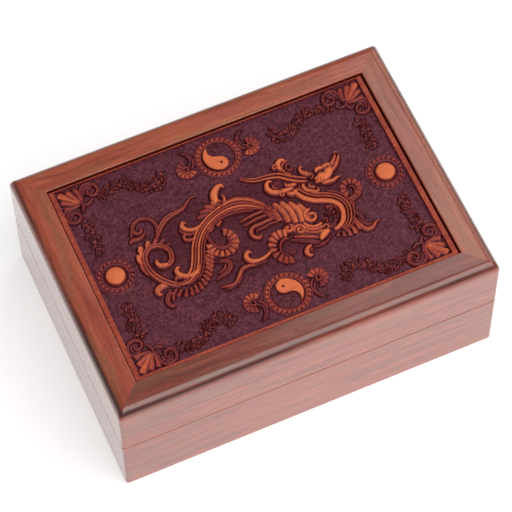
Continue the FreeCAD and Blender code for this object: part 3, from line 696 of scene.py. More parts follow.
def finish_carving(carving, name, body="lid"):
    """Turns a carving into a piece that rides on a body."""
    bmesh.ops.recalc_face_normals(carving, faces=carving.faces)
    bmesh.ops.scale(carving, vec=(MILLIMETRE,) * 3, verts=carving.verts)
    mesh = bpy.data.meshes.new(name)
    carving.to_mesh(mesh)
    carving.free()
    mesh.materials.append(carving_material())
    for face in mesh.polygons:
        face.use_smooth = True
    piece = bpy.data.objects.new(name, mesh)
    bpy.context.scene.collection.objects.link(piece)
    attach(piece, body)
    return piece


class CARDBOX_OT_set_stage(bpy.types.Operator):
    """Set up the camera, the floor and the lamps"""

    bl_idname = "cardbox.set_stage"
    bl_label = "Set Stage"

    def execute(self, context):
        settings = context.scene.stage_settings
        scene = context.scene
        scene.view_settings.view_transform = "Standard"
        camera = bpy.data.objects.new("camera", bpy.data.cameras.new("camera"))
        scene.collection.objects.link(camera)
        scene.camera = camera
        camera.data.lens = settings.lens
        camera.data.sensor_width = 36.0
        camera.data.clip_start = 0.05
        flat = math.cos(settings.elevation)
        back = Vector(
            (math.sin(settings.azimuth) * flat, -math.cos(settings.azimuth) * flat, math.sin(settings.elevation))
        )
        side = Vector((math.cos(settings.azimuth), math.sin(settings.azimuth), 0.0))
        facing = Matrix((side, back.cross(side), back)).transposed()
        turned = facing @ Matrix.Rotation(settings.roll, 3, "Z")
        camera.matrix_world = Matrix.Translation(Vector(settings.target) + back * settings.distance) @ turned.to_4x4()
        self.lay_floor(scene)
        self.hang_lamp(scene, "overhead_lamp", (0.3, -0.8, 1.2), (0.3, -0.8, 0.0), (1.5, 1.4), settings.overhead_power)
        self.hang_lamp(scene, "side_lamp", (1.25, 0.75, 0.85), (0.0, 0.0, 0.05), (0.9, 0.7), settings.side_power)
        self.hang_lamp(scene, "sheen_lamp", (0.42, 0.46, 1.07), (0.0, 0.0, 0.06), (0.34, 0.3), settings.sheen_power)
        world = bpy.data.worlds.new("room")
        scene.world = world
        world.use_nodes = True
        room = world.node_tree.nodes["Background"]
        room.inputs["Color"].default_value = (1.0, 1.0, 1.0, 1.0)
        room.inputs["Strength"].default_value = settings.sky
        return {"FINISHED"}

    def lay_floor(self, scene):
        mesh = bpy.data.meshes.new("floor")
        sheet = bmesh.new()
        bmesh.ops.create_grid(sheet, x_segments=1, y_segments=1, size=6.0, matrix=Matrix.Translation((0, 0, -0.0002)))
        sheet.to_mesh(mesh)
        sheet.free()
        floor = bpy.data.objects.new("floor", mesh)
        scene.collection.objects.link(floor)
        material = bpy.data.materials.new("floor")
        mesh.materials.append(material)
        material.use_nodes = True
        tree = material.node_tree
        surface = tree.nodes["Principled BSDF"]
        surface.inputs["Base Color"].default_value = (0.92, 0.92, 0.92, 1.0)
        surface.inputs["Roughness"].default_value = 1.0
        surface.inputs["Specular IOR Level"].default_value = 0.0
        surface.inputs["Emission Color"].default_value = (1.0, 1.0, 1.0, 1.0)
        ray = add_node(tree, "LightPath", (-700, -200))
        seen = calculate(tree, "MAXIMUM", ray.outputs["Is Camera Ray"], ray.outputs["Is Glossy Ray"], (-500, -200))
        seen = calculate(tree, "MAXIMUM", seen, ray.outputs["Is Transmission Ray"], (-320, -200))
        glow = calculate(tree, "MULTIPLY", seen, 0.5, (-140, -200))
        tree.links.new(glow, surface.inputs["Emission Strength"])

    def hang_lamp(self, scene, name, place, aim, size, power):
        data = bpy.data.lights.new(name, "AREA")
        data.shape = "RECTANGLE"
        data.size, data.size_y = size
        data.energy = power
        lamp = bpy.data.objects.new(name, data)
        scene.collection.objects.link(lamp)
        lamp.location = place
        lamp.rotation_euler = (Vector(aim) - Vector(place)).to_track_quat("-Z", "Y").to_euler()
        lamp.visible_camera = False


class CARDBOX_OT_finish_boards(bpy.types.Operator):
    """Give each board its own wood figure and lacquer"""

    bl_idname = "cardbox.finish_boards"
    bl_label = "Finish Boards"

    def execute(self, context):
        finish = context.scene.board_finish
        quarter = math.pi / 2
        # The last column tints each lid board's top apart from its faces: painted light and shade, darkest on the front
        # board.
        boards = (
            ("base_front_wall", 0.0, (31.0, 4.0, 12.0), (1.25, 1.0, 0.98), (1.0, 1.0, 1.0)),
            ("base_back_wall", 0.0, (407.0, 64.0, 31.0), (1.0, 1.0, 1.0), (1.0, 1.0, 1.0)),
            ("base_left_wall", quarter, (218.0, 37.0, 77.0), (1.1, 1.0, 1.0), (1.0, 1.0, 1.0)),
            ("base_right_wall", quarter, (655.0, 118.0, 5.0), (1.0, 1.0, 1.0), (1.0, 1.0, 1.0)),
            ("lid_front_wall", 0.0, (140.0, 83.0, 52.0), (1.2, 0.88, 0.85), (0.56, 0.64, 0.84)),
            ("lid_back_wall", 0.0, (903.0, 11.0, 97.0), (1.2, 1.12, 1.15), (1.05, 1.0, 1.0)),
            ("lid_left_wall", quarter, (511.0, 90.0, 41.0), (1.25, 0.88, 0.84), (0.92, 1.0, 1.12)),
            ("lid_right_wall", quarter, (77.0, 152.0, 63.0), (1.1, 1.12, 1.1), (1.0, 1.0, 1.0)),
        )
        for name, turned, offset, tint, painted_top_light in boards:
            shades = [
                [min(1.0, part * share) for part, share in zip(shade, tint)]
                for shade in (finish.light, finish.middle, finish.dark)
            ]
            material = board_material(
                name, (0.0, 0.0, turned), offset, *shades, 0.7, 1.0, finish.lacquer_roughness, painted_top_light
            )
            give_material(name, material)
        for name, offset in (("base_bottom_board", (60.0, 21.0, 8.0)), ("lid_backing_board", (260.0, 75.0, 18.0))):
            middle = [(a + b) / 2 for a, b in zip(finish.inner_light, finish.inner_dark)]
            material = board_material(
                name, (0.0, 0.0, 0.0), offset, finish.inner_light, middle, finish.inner_dark, 0.5, 0.15, 0.4
            )
            give_material(name, material)
        return {"FINISHED"}


class CARDBOX_OT_finish_hinges(bpy.types.Operator):
    """Give the hinges, pins and screws their brass"""

    bl_idname = "cardbox.finish_hinges"
    bl_label = "Finish Hinges"

    def execute(self, context):
        brass = brass_material()
        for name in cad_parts:
            if "hinge" in name:
                give_material(name, brass)
        return {"FINISHED"}


class CARDBOX_OT_carve_ground(bpy.types.Operator):
    """Make the tile's slab with its sunk, stippled ground and its raised border"""

    bl_idname = "cardbox.carve_ground"
    bl_label = "Carve Ground"

    def execute(self, context):
        carving = new_carving()
        rubbed = carving.verts.layers.float["rubbed"]
        size = TILE_HIGH - TILE_LOW + Vector((2 * OVERHANG, 0.0, 0.0))
        middle = (TILE_HIGH + TILE_LOW) / 2
        place = Matrix.Translation((middle.x, middle.y, (GROUND + TILE_LOW.z) / 2))
        slab = bmesh.ops.create_cube(
            carving, size=1.0, matrix=place @ Matrix.Diagonal((size.x, size.y, GROUND - TILE_LOW.z, 1.0))
        )["verts"]
        for vert in slab:
            vert[rubbed] = 0.27
        top = [face for face in carving.faces if face.normal.z > 0.9]
        bmesh.ops.inset_region(carving, faces=top, thickness=BORDER_WIDTH)
        inner = top[0]
        for vert in inner.verts:
            vert.co.x -= math.copysign(OVERHANG, vert.co.x - middle.x)
            if vert.co.y > middle.y:
                vert.co.y += BORDER_WIDTH - BACK_BORDER_WIDTH
        rim = [face for face in carving.faces if face.normal.z > 0.9 and face is not inner]
        raised = bmesh.ops.extrude_face_region(carving, geom=rim)["geom"]
        lifted = [item for item in raised if isinstance(item, bmesh.types.BMVert)]
        bmesh.ops.translate(carving, vec=(0.0, 0.0, BORDER_TOP - GROUND), verts=lifted)
        bmesh.ops.delete(carving, geom=rim, context="FACES")
        edges = {edge for vert in lifted for edge in vert.link_edges if edge.verts[0] in lifted and edge.verts[1] in lifted}
        sharp = [edge for edge in edges if len(edge.link_faces) == 2 and min(f.normal.z for f in edge.link_faces) < 0.5]
        bmesh.ops.bevel(carving, geom=sharp, offset=0.4, segments=4, profile=0.5, affect="EDGES", material=-1)
        for vert in carving.verts:
            share = (vert.co.z - GROUND) / (BORDER_TOP - GROUND)
            vert[rubbed] = 0.27 if share < 0.01 else 0.7 if share > 0.75 else 0.0
        piece = finish_carving(carving, "tile_ground")
        for face in piece.data.polygons:
            face.use_smooth = face.area < 1e-4
        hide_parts("carved_tile")
        return {"FINISHED"}


class CARDBOX_OT_carve_bosses(bpy.types.Operator):
    """Turn the two domed bosses and their beaded rims"""

    bl_idname = "cardbox.carve_bosses"
    bl_label = "Carve Bosses"

    def execute(self, context):
        for name, centre in (("left_boss", LEFT_BOSS), ("right_boss", RIGHT_BOSS)):
            carving = new_carving()
            dome = [
                (4.55 * math.sin(angle), 0.55 + 1.43 * math.cos(angle), 1.05 if angle < 1.2 else 0.6)
                for angle in (0.0, 0.25, 0.5, 0.75, 1.0, 1.2, 1.4, math.pi / 2)
            ]
            profile = [
                *dome,
                (4.6, 0.3, 0.02),
                (5.0, 0.08, 0.0),
                (5.4, 0.12, 0.02),
                (5.65, 0.5, 0.36),
                (6.05, 0.62, 0.48),
                (6.4, 0.5, 0.36),
                (6.6, 0.2, 0.1),
                (8.0, 0.2, 0.1),
                (8.25, 0.4, 0.34),
                (8.55, 0.46, 0.42),
                (8.9, 0.36, 0.34),
                (9.2, 0.1, 0.1),
                (9.4, -0.03, 0.0),
            ]
            turn(carving, centre, profile)
            wreath(carving, centre, 7.3, 20, 2.7, 0.6, 0.62)
            finish_carving(carving, name)
        return {"FINISHED"}


class CARDBOX_OT_carve_medallions(bpy.types.Operator):
    """Carve the two round medallions of light and dark lobes"""

    bl_idname = "cardbox.carve_medallions"
    bl_label = "Carve Medallions"

    def execute(self, context):
        for name, centre, turned in (
            ("back_medallion", BACK_MEDALLION, math.radians(91)),
            ("front_medallion", FRONT_MEDALLION, math.radians(-79)),
        ):
            carving = new_carving()
            profile = [
                (0.0, 0.3, 0.2),
                (6.9, 0.3, 0.2),
                (7.2, 0.12, 0.0),
                (7.55, 0.12, 0.02),
                (7.75, 0.5, 0.42),
                (8.1, 0.74, 0.62),
                (8.45, 0.5, 0.42),
                (8.6, 0.2, 0.1),
                (9.9, 0.18, 0.1),
                (10.1, 0.4, 0.36),
                (10.35, 0.5, 0.5),
                (10.6, 0.36, 0.3),
                (10.8, 0.05, 0.0),
                (11.1, -0.03, 0.0),
            ]
            turn(carving, centre, profile, 72)
            wreath(carving, centre, 9.25, 26, 2.7, 0.6, 0.7)
            self.lobe(carving, centre, turned, 7.15, 1.5, 1.0)
            self.dots(carving, centre, turned, 7.15)
            finish_carving(carving, name)
        return {"FINISHED"}

    def lobe(self, carving, centre, turned, radius, rise, tone):
        """The bright comma-shaped lobe, between the disc's edge and a double bend."""
        rubbed = carving.verts.layers.float["rubbed"]
        steps, across = 48, 14
        made = bmesh.ops.create_grid(carving, x_segments=steps, y_segments=across + 1, size=0.5)["verts"]
        for vert in made:
            share = vert.co.x + 0.5
            column = round((vert.co.y + 0.5) * (across + 1))
            side = (column % (across + 1)) / across
            outer = (-radius * math.cos(math.pi * share), radius * math.sin(math.pi * share))
            half = radius / 2
            if share < 0.5:
                angle = math.tau * share
                inner = (-half - half * math.cos(angle), -half * math.sin(angle))
            else:
                angle = math.tau * (share - 0.5)
                inner = (half - half * math.cos(angle), half * math.sin(angle))
            x = inner[0] + (outer[0] - inner[0]) * side
            y = inner[1] + (outer[1] - inner[1]) * side
            closeness = min(side, 1 - side) * math.dist(inner, outer)
            if share < 0.5 and y < 0:
                closeness = min(closeness, half - math.dist((x, y), (-half, 0.0)))
            crown = math.sqrt(max(0.0, 1 - (1 - min(1.0, max(0.0, closeness) / 0.9)) ** 2))
            base = column == across + 1
            vert.co = (
                centre[0] + x * math.cos(turned) - y * math.sin(turned),
                centre[1] + x * math.sin(turned) + y * math.cos(turned),
                GROUND + 0.25 + (0.0 if base else (rise - 0.25) * crown),
            )
            vert[rubbed] = 0.0 if base else tone * crown
        bmesh.ops.remove_doubles(carving, verts=made, dist=0.0005)

    def dots(self, carving, centre, turned, radius):
        """The dark dot in the bright lobe and the raised one in the dark lobe."""
        for side, raised in ((-1, False), (1, True)):
            x = centre[0] + side * radius / 2 * math.cos(turned)
            y = centre[1] + side * radius / 2 * math.sin(turned)
            if raised:
                bead(carving, x, y, 0.85, 0.6, 0.5, 0.25)
            else:
                bead(carving, x, y, 0.72, 0.05, 0.0, 1.49)


class CARDBOX_OT_carve_palmettes(bpy.types.Operator):
    """Carve the corner palmettes and the shells beside the medallions"""

    bl_idname = "cardbox.carve_palmettes"
    bl_label = "Carve Palmettes"

    def execute(self, context):
        rise = context.scene.carving_sizes.leaf_rise / MILLIMETRE
        for row, y, centre_y in (("front", -1, -35.6), ("back", 1, 37.4)):
            for column, x in (("left", -1), ("right", 1)):
                carving = new_carving()
                self.corner(carving, x, y, rise)
                finish_carving(carving, f"{row}_{column}_palmette")
                carving = new_carving()
                self.shell(carving, (15.1 * x, centre_y), x, -y, rise)
                finish_carving(carving, f"{row}_{column}_shell")
        return {"FINISHED"}

    def corner(self, carving, x, y, rise):
        """Blades that spread from a root into a corner, with a volute at each side."""
        edge_y = TILE_HIGH.y - BACK_BORDER_WIDTH if y > 0 else -TILE_LOW.y - BORDER_WIDTH
        root = (64.1 * x, (edge_y - 8.5) * y)

        def place(a, b):
            return (root[0] + a * x, root[1] + b * y)

        for a, b, wide, bend, tone in (
            (7.9, 8.0, 2.1, 0.0, 0.98),
            (3.7, 8.1, 1.6, 0.03, 0.88),
            (8.0, 3.9, 1.6, -0.03, 0.88),
            (0.2, 8.0, 1.35, 0.1, 0.78),
            (8.0, 0.3, 1.35, -0.1, 0.78),
        ):
            petal(
                carving, place(-0.2, -0.2), place(a, b), wide, rise, bend=bend * x * y, tone=tone, lean=0.3 * x * y, shape=WEDGE
            )
        for swap in (False, True):
            for points, tone, ridges in (
                (((-0.8, -0.6, 0.4), (-1.6, 2.4, 0.75), (-1.9, 5.4, 0.8), (-3.6, 7.7, 0.8), (-6.4, 8.0, 0.8), (-8.9, 6.3, 0.8),
                  (-9.4, 3.4, 0.75), (-7.6, 1.5, 0.7), (-5.3, 2.2, 0.65), (-4.6, 4.2, 0.6), (-5.9, 5.3, 0.5), (-7.1, 4.3, 0.3)),
                 0.66, 2),
                (((-3.4, 2.6, 0.3), (-3.2, 4.6, 0.7), (-4.4, 6.4, 0.7), (-6.4, 6.4, 0.6), (-7.6, 5.2, 0.3)), 0.42, 1),
                (((0.0, -1.2, 0.3), (-2.6, -1.6, 0.75), (-4.6, -0.8, 0.7), (-5.6, 0.5, 0.2)), 0.45, 1),
            ):
                if swap:
                    points = [(b + 0.9, a + 1.2, w) for a, b, w in points]
                stroke(carving, [(*place(a, b), w, rise * 0.85) for a, b, w in points], ridges=ridges, tone=tone, spacing=0.45)

    def shell(self, carving, centre, x, y, rise):
        """Broad petals round a small spiral, on a stem that sweeps past the medallion."""
        outward = 0 if x > 0 else 180
        spray(carving, centre, outward + x * y * 132, outward - x * y * 84, (1.3, 1.3), (5.0, 5.0), 8, rise, 0.9, 0.6)
        spiral = curl(centre, outward + x * y * 150, outward - x * y * 330, 2.0, 0.35, 0.5, rise * 0.95)
        stroke(carving, spiral, tone=0.55, spacing=0.4)
        for offset, tone in ((0.0, 0.5), (1.1, 0.36)):
            stem = [
                (centre[0] - (1.4 - offset) * x, centre[1] + (0.6 - offset) * y, 0.4, rise * 0.7),
                (centre[0] - (3.6 - offset) * x, centre[1] - (1.0 + offset) * y, 0.55, rise * 0.7),
                (centre[0] - (4.3 - offset) * x, centre[1] - (4.2 + 0.5 * offset) * y, 0.55, rise * 0.7),
                (centre[0] - (2.9 - offset) * x, centre[1] - (7.6 + 0.2 * offset) * y, 0.4, rise * 0.6),
                (centre[0] - (0.2 - offset) * x, centre[1] - 9.9 * y, 0.1, 0.1),
            ]
            stroke(carving, stem, tone=tone, spacing=0.6)


class CARDBOX_OT_carve_garlands(bpy.types.Operator):
    """Carve the low garlands of berries and leaves along the border"""

    bl_idname = "cardbox.carve_garlands"
    bl_label = "Carve Garlands"

    def execute(self, context):
        rise = context.scene.carving_sizes.garland_rise / MILLIMETRE
        chance = random.Random(7)
        across = [(56.5, 41.5), (52, 42.0), (47, 43.3), (42, 42.4), (38.5, 38.5), (34, 36.4), (29.5, 35.0), (27.5, 38.5), (25.8, 41.0)]
        down = [(66, 30.5), (64.8, 28), (66.3, 25), (64.8, 21), (65.6, 17), (64.9, 13.5)]
        for row, y in (("front", -1), ("back", 1)):
            for column, x in (("left", -1), ("right", 1)):
                for part, points in (("garland", across), ("side_garland", down)):
                    carving = new_carving()
                    self.garland(carving, [(a * x, b * y) for a, b in points], rise, chance)
                    finish_carving(carving, f"{row}_{column}_{part}")
        return {"FINISHED"}

    def garland(self, carving, points, rise, chance):
        """A thin stem with clusters of berries and small leaves to both sides."""
        knots = [(a, b, 0.4, rise * 0.6) for a, b in points]
        stroke(carving, knots, tone=0.15, spacing=0.8)
        line = trace(knots, 1.7)
        for number, sample in enumerate(line[:-1]):
            after = line[number + 1]
            heading = math.atan2(after[1] - sample[1], after[0] - sample[0])
            side = 1 if number % 2 else -1
            for swing in (0.9, -1.2):
                angle = heading + swing * side + chance.uniform(-0.4, 0.4)
                reach = chance.uniform(2.2, 3.6)
                tip = (sample[0] + reach * math.cos(angle), sample[1] + reach * math.sin(angle))
                tone = chance.uniform(0.05, 0.4)
                petal(carving, (sample[0], sample[1]), tip, chance.uniform(0.5, 0.8), rise, chance.uniform(-0.2, 0.2), tone)
            for turned in (-1.5, -0.5, 0.5, 1.5):
                angle = heading + turned * side + chance.uniform(-0.4, 0.4)
                away = chance.uniform(0.6, 2.9)
                x, y = sample[0] + away * math.cos(angle), sample[1] + away * math.sin(angle)
                bead(carving, x, y, chance.uniform(0.9, 1.15), rise * 0.5, 0.0)
                bead(carving, x, y, chance.uniform(0.4, 0.6), rise * 1.3, chance.uniform(0.3, 0.95))


class CARDBOX_OT_carve_dragon(bpy.types.Operator):
    """Carve the dragon with its leafy scrolls"""

    bl_idname = "cardbox.carve_dragon"
    bl_label = "Carve Dragon"

    def execute(self, context):
        sizes = context.scene.carving_sizes
        high = sizes.dragon_rise / MILLIMETRE
        low = sizes.leaf_rise / MILLIMETRE
        self.carve_tail(high, low)
        self.carve_trunk(high, low)
        self.carve_scrolls(high, low)
        self.carve_haunch(high, low)
        self.carve_neck(high, low)
        self.carve_head(high, low)
        return {"FINISHED"}

    def carve_tail(self, high, low):
        """The coil with its sheath of lobes, the scroll over it and the long whip leaf."""
        carving = new_carving()
        coil = (
            (-43.9, 1.2, 0.6), (-45.4, -0.6, 1.2), (-44.2, -2.9, 1.5), (-41.0, -3.4, 1.4), (-38.6, -1.2, 1.3), (-38.0, 2.8, 1.3),
            (-40.4, 6.4, 1.3), (-44.8, 7.6, 1.4), (-48.4, 5.2, 1.4), (-49.8, 1.0, 1.5), (-49.3, -4.0, 1.7), (-47.0, -8.8, 1.8),
            (-43.6, -12.6, 1.7), (-39.6, -14.8, 1.2),
        )
        ribbon(carving, 0.85, 2, high, *coil)
        ribbon(carving, 0.95, 1, high * 1.1, (-44.0, 0.8, 0.5), (-45.5, -0.9, 1.0), (-44.4, -2.7, 1.3), (-42.0, -3.2, 0.9), (-40.6, -2.8, 0.3))
        for root, tip, wide, tone in (
            ((-50.4, -5.4), (-51.5, 2.0), 1.05, 0.85),
            ((-50.6, -1.4), (-50.8, 6.4), 1.45, 1.05),
            ((-49.6, 3.2), (-48.2, 9.8), 1.5, 1.05),
            ((-46.8, 6.0), (-44.0, 10.6), 1.45, 1.0),
            ((-43.6, 7.4), (-40.4, 10.2), 1.2, 0.75),
            ((-40.9, 7.4), (-37.4, 8.4), 1.1, 0.66),
            ((-39.0, 5.4), (-35.9, 5.4), 1.0, 0.55),
        ):
            petal(carving, root, tip, wide, high * 1.02, bend=0.12, tone=tone, lean=-0.25, shape=BLUNT)
        for tone, ridges, *knots in (
            (0.78, 2, (-41.2, 9.8, 0.7), (-39.2, 13.4, 0.85), (-38.3, 17.6, 0.85), (-40.2, 21.2, 0.85), (-44.2, 22.6, 0.85),
             (-47.8, 20.8, 0.85), (-48.6, 17.8, 0.85), (-46.8, 16.0, 0.75), (-45.0, 17.4, 0.7), (-46.4, 18.8, 0.3)),
            (0.62, 1, (-52.7, 12.3, 0.1), (-50.8, 14.0, 1.1), (-47.8, 13.6, 0.9), (-45.4, 14.4, 0.7), (-44.2, 16.2, 0.2)),
            (0.5, 1, (-50.9, 15.2, 0.2), (-49.9, 17.0, 0.7), (-49.8, 19.4, 0.2)),
            (0.85, 2, (-40.6, 10.6, 0.7), (-37.2, 15.0, 1.3), (-33.0, 18.2, 1.4), (-28.4, 19.2, 1.1), (-24.6, 19.8, 0.9),
             (-21.6, 22.0, 0.6), (-19.4, 23.4, 0.4), (-16.4, 23.6, 0.05)),
        ):
            ribbon(carving, tone, ridges, low, *knots)
        finish_carving(carving, "dragon_tail")

    def carve_trunk(self, high, low):
        """The stranded body with the leaves along its belly."""
        carving = new_carving()
        spine = [
            (-42.0, -14.2, 1.2, high), (-38.4, -15.0, 2.6, high), (-34.2, -13.8, 3.1, high), (-30.8, -10.6, 3.2, high),
            (-28.2, -5.8, 3.2, high), (-26.0, -0.8, 3.1, high), (-23.0, 3.6, 3.0, high), (-19.0, 7.2, 2.9, high),
            (-14.2, 9.8, 2.9, high), (-9.0, 11.2, 3.3, high), (-3.6, 11.4, 3.9, high), (1.2, 10.0, 3.7, high),
            (5.0, 7.6, 2.6, high), (8.8, 4.8, 1.0, low),
        ]
        for share, width, first, last, tone in (
            (-0.84, 0.16, 2, 13, 0.5),
            (-0.48, 0.16, 1, 14, 0.66),
            (-0.09, 0.2, 0, 14, 0.9),
            (0.33, 0.17, 0, 14, 0.68),
            (0.76, 0.2, 1, 14, 0.88),
        ):
            stroke(carving, alongside(spine, share, width)[first:last], tone=tone, spacing=0.6, outline=0.25)
        belly = trace(alongside(spine, -0.85, 1.0)[:6], 2.0)
        for number, sample in enumerate(belly[:-1]):
            after = belly[number + 1]
            heading = math.atan2(after[1] - sample[1], after[0] - sample[0])
            for swing, reach, wide, rise, tone in ((-1.95, 4.6, 1.15, low, 0.62), (-1.8, 2.5, 0.8, low * 1.35, 0.78)):
                tip = (sample[0] + reach * math.cos(heading + swing), sample[1] + reach * math.sin(heading + swing))
                petal(carving, sample[:2], tip, wide, rise, bend=0.08, tone=tone + 0.02 * number, lean=-0.2, shape=BLUNT)
        for root, tip, wide, tone in (
            ((-25.0, -3.6), (-25.2, -9.6), 1.2, 0.75),
            ((-14.6, 7.6), (-18.8, 4.8), 1.25, 1.05),
            ((-11.0, 7.8), (-14.6, 5.4), 1.05, 0.8),
        ):
            petal(carving, root, tip, wide, low * 1.15, bend=0.06, tone=tone, lean=0.2, shape=WEDGE)
        finish_carving(carving, "dragon_body")

    def carve_scrolls(self, high, low):
        """Curled leaves that grow from the body."""
        carving = new_carving()
        spray(carving, (-15.4, -2.9), -186, 58, (3.2, 3.2), (7.6, 7.3), 11, low, 0.95, 0.85, bend=-0.06)
        for tone, ridges, rise, *knots in (
            (0.66, 2, low, (-19.0, 6.2, 0.6), (-20.0, 1.8, 0.9), (-19.0, -2.8, 0.9), (-16.2, -5.4, 0.9), (-13.0, -5.0, 0.85),
             (-12.0, -2.6, 0.7), (-13.4, -1.2, 0.3)),
            (0.92, 1, high, (-28.2, -9.0, 0.9), (-31.4, -12.0, 1.3), (-35.2, -12.4, 1.5), (-38.4, -10.4, 1.5), (-39.2, -8.0, 1.3),
             (-38.0, -6.6, 0.7), (-36.6, -7.2, 0.2)),
            (0.92, 1, high, (-19.6, 9.6, 0.6), (-23.4, 8.0, 1.0), (-26.6, 8.8, 1.1), (-28.4, 11.2, 1.4), (-27.4, 13.0, 0.9), (-25.8, 12.2, 0.2)),
            (0.55, 1, low, (-22.6, 7.0, 0.4), (-26.4, 6.6, 0.6), (-29.8, 9.2, 0.6), (-30.2, 11.6, 0.2)),
            (0.72, 1, low, (-23.6, 4.0, 0.5), (-26.4, 3.8, 0.8), (-29.4, 4.8, 0.9), (-29.2, 7.2, 0.8), (-27.2, 7.0, 0.6), (-27.4, 5.6, 0.3)),
            (1.05, 1, high, (-8.8, 15.4, 1.3), (-9.9, 18.2, 1.8), (-9.0, 21.2, 2.0), (-6.6, 23.4, 1.5), (-4.4, 23.6, 0.8), (-3.8, 21.9, 0.15)),
            (0.78, 1, low, (-7.2, 14.6, 0.9), (-5.8, 17.2, 0.9), (-6.0, 19.8, 0.4)),
            (0.7, 1, low, (-6.4, 15.6, 0.4), (-1.6, 15.2, 0.7), (3.8, 12.6, 0.7), (8.2, 8.2, 0.6), (9.8, 5.6, 0.2)),
            (0.7, 2, low, (-21.4, -11.0, 0.6), (-18.2, -11.4, 1.0), (-16.4, -13.8, 1.2), (-18.4, -16.6, 1.2), (-22.0, -17.8, 0.9), (-26.0, -18.6, 0.2)),
            (0.62, 1, low, (-19.6, -12.6, 0.4), (-18.8, -14.2, 0.7), (-21.0, -15.8, 0.5), (-23.4, -16.0, 0.15)),
            (0.8, 1, low, (-44.4, -12.6, 1.2), (-47.4, -12.0, 1.7), (-50.2, -13.2, 1.7), (-50.2, -15.4, 1.1), (-48.4, -15.4, 0.3)),
            (0.72, 2, low, (-45.0, -15.4, 0.9), (-47.2, -17.6, 1.1), (-48.4, -20.2, 1.1), (-47.4, -22.8, 0.9), (-45.6, -22.6, 0.15)),
            (0.6, 1, low, (-43.8, -16.2, 0.6), (-45.4, -19.0, 0.8), (-45.6, -21.2, 0.15)),
            (0.62, 1, low, (-41.6, -12.4, 0.4), (-40.4, -10.8, 1.0), (-38.4, -11.6, 0.8), (-37.6, -13.0, 0.2)),
            (0.72, 1, low, (-25.4, -22.4, 0.15), (-22.0, -23.6, 0.8), (-18.4, -23.6, 0.9), (-15.4, -21.0, 1.0), (-12.8, -18.4, 1.1),
             (-9.4, -18.2, 0.8), (-5.6, -19.4, 0.2)),
            (0.5, 1, low, (-24.6, -24.4, 0.1), (-20.6, -25.0, 0.5), (-16.4, -23.6, 0.5), (-13.4, -20.6, 0.3)),
            (0.95, 1, high, (3.6, -14.0, 0.5), (-0.2, -16.8, 0.8), (-4.6, -17.6, 1.1), (-7.9, -16.4, 1.4), (-9.0, -13.6, 1.4), (-7.2, -11.9, 0.9), (-5.7, -13.0, 0.15)),
            (0.5, 1, low, (-0.6, -18.6, 0.4), (-5.0, -19.2, 0.5), (-9.6, -17.0, 0.4)),
        ):
            ribbon(carving, tone, ridges, rise, *knots)
        for root, tip, wide, tone in (
            ((-10.2, 14.2), (-12.6, 17.9), 1.25, 0.85),
            ((-11.2, 13.6), (-16.0, 16.9), 1.35, 0.78),
            ((-12.6, 12.9), (-19.0, 14.9), 1.35, 0.7),
            ((-14.6, 12.0), (-21.0, 12.4), 1.2, 0.62),
        ):
            petal(carving, root, tip, wide, low, bend=-0.1, tone=tone, lean=0.2)
        stroke(carving, curl((-8.8, 15.0), 0, 360, 1.3, 1.3, 0.45, high * 1.2, count=10), tone=0.7, spacing=0.35)
        bead(carving, -8.8, 15.0, 0.7, high * 1.1, 0.8)
        stroke(carving, curl((-24.9, -11.2), 60, 470, 1.5, 0.3, 0.5, low), tone=0.72, spacing=0.35)
        finish_carving(carving, "dragon_scrolls")

    def carve_haunch(self, high, low):
        """The striped haunch, the ribbed leg and the coiled foot of broad petals."""
        carving = new_carving()
        ribbon(carving, 0.3, 1, high * 0.6, (7.0, 5.4, 1.4), (12.0, 1.6, 4.0), (18.0, -1.8, 4.8), (23.2, -5.6, 4.0), (25.8, -9.6, 2.4))
        for root, tip, wide, bend, tone in (
            ((6.6, 5.6), (9.4, -1.6), 1.3, 0.04, 0.6),
            ((8.8, 6.2), (11.8, -3.6), 1.75, 0.06, 0.82),
            ((12.0, 6.3), (14.7, -5.8), 1.8, 0.1, 0.92),
            ((15.2, 5.6), (17.4, -7.2), 1.85, 0.12, 1.0),
            ((18.4, 4.0), (20.0, -8.0), 1.85, 0.15, 1.0),
            ((21.5, 1.6), (22.4, -8.6), 1.8, 0.16, 0.9),
        ):
            petal(carving, root, tip, wide, high, bend=bend, tone=tone, lean=-0.25, shape=SLAB)
        ribbon(carving, 0.45, 1, high * 0.75, (11.0, -6.6, 1.2), (15.2, -8.6, 3.2), (20.2, -11.4, 3.6), (25.6, -15.0, 2.0), (27.4, -16.4, 0.5))
        for start, finish, first, last, tone in (
            (70, 520, 3.6, 0.6, 0.95), (196, 300, 5.0, 5.8, 0.95), (200, 292, 6.5, 7.2, 0.85), (206, 284, 8.0, 8.8, 0.75)
        ):
            stroke(carving, curl((25.2, -6.8), start, finish, first, last, 0.8, high * 1.15), tone=tone, spacing=0.4)
        for centre, start, finish, radius, tone in (
            ((13.4, -8.6), 60, -330, 2.1, 1.0),
            ((17.8, -11.2), 200, -330, 2.8, 0.9),
            ((29.0, -14.6), 200, -150, 1.5, 0.8),
            ((9.8, 4.6), 120, 480, 1.2, 0.66),
            ((11.6, 2.8), 120, 480, 1.1, 0.66),
        ):
            stroke(carving, curl(centre, start, finish, radius, 0.4, 0.62, high * 1.2), tone=tone, spacing=0.35)
        spray(carving, (8.8, -16.0), 62, 262, (3.4, 4.2), (7.6, 9.0), 10, high, 1.0, 0.66, bend=0.05)
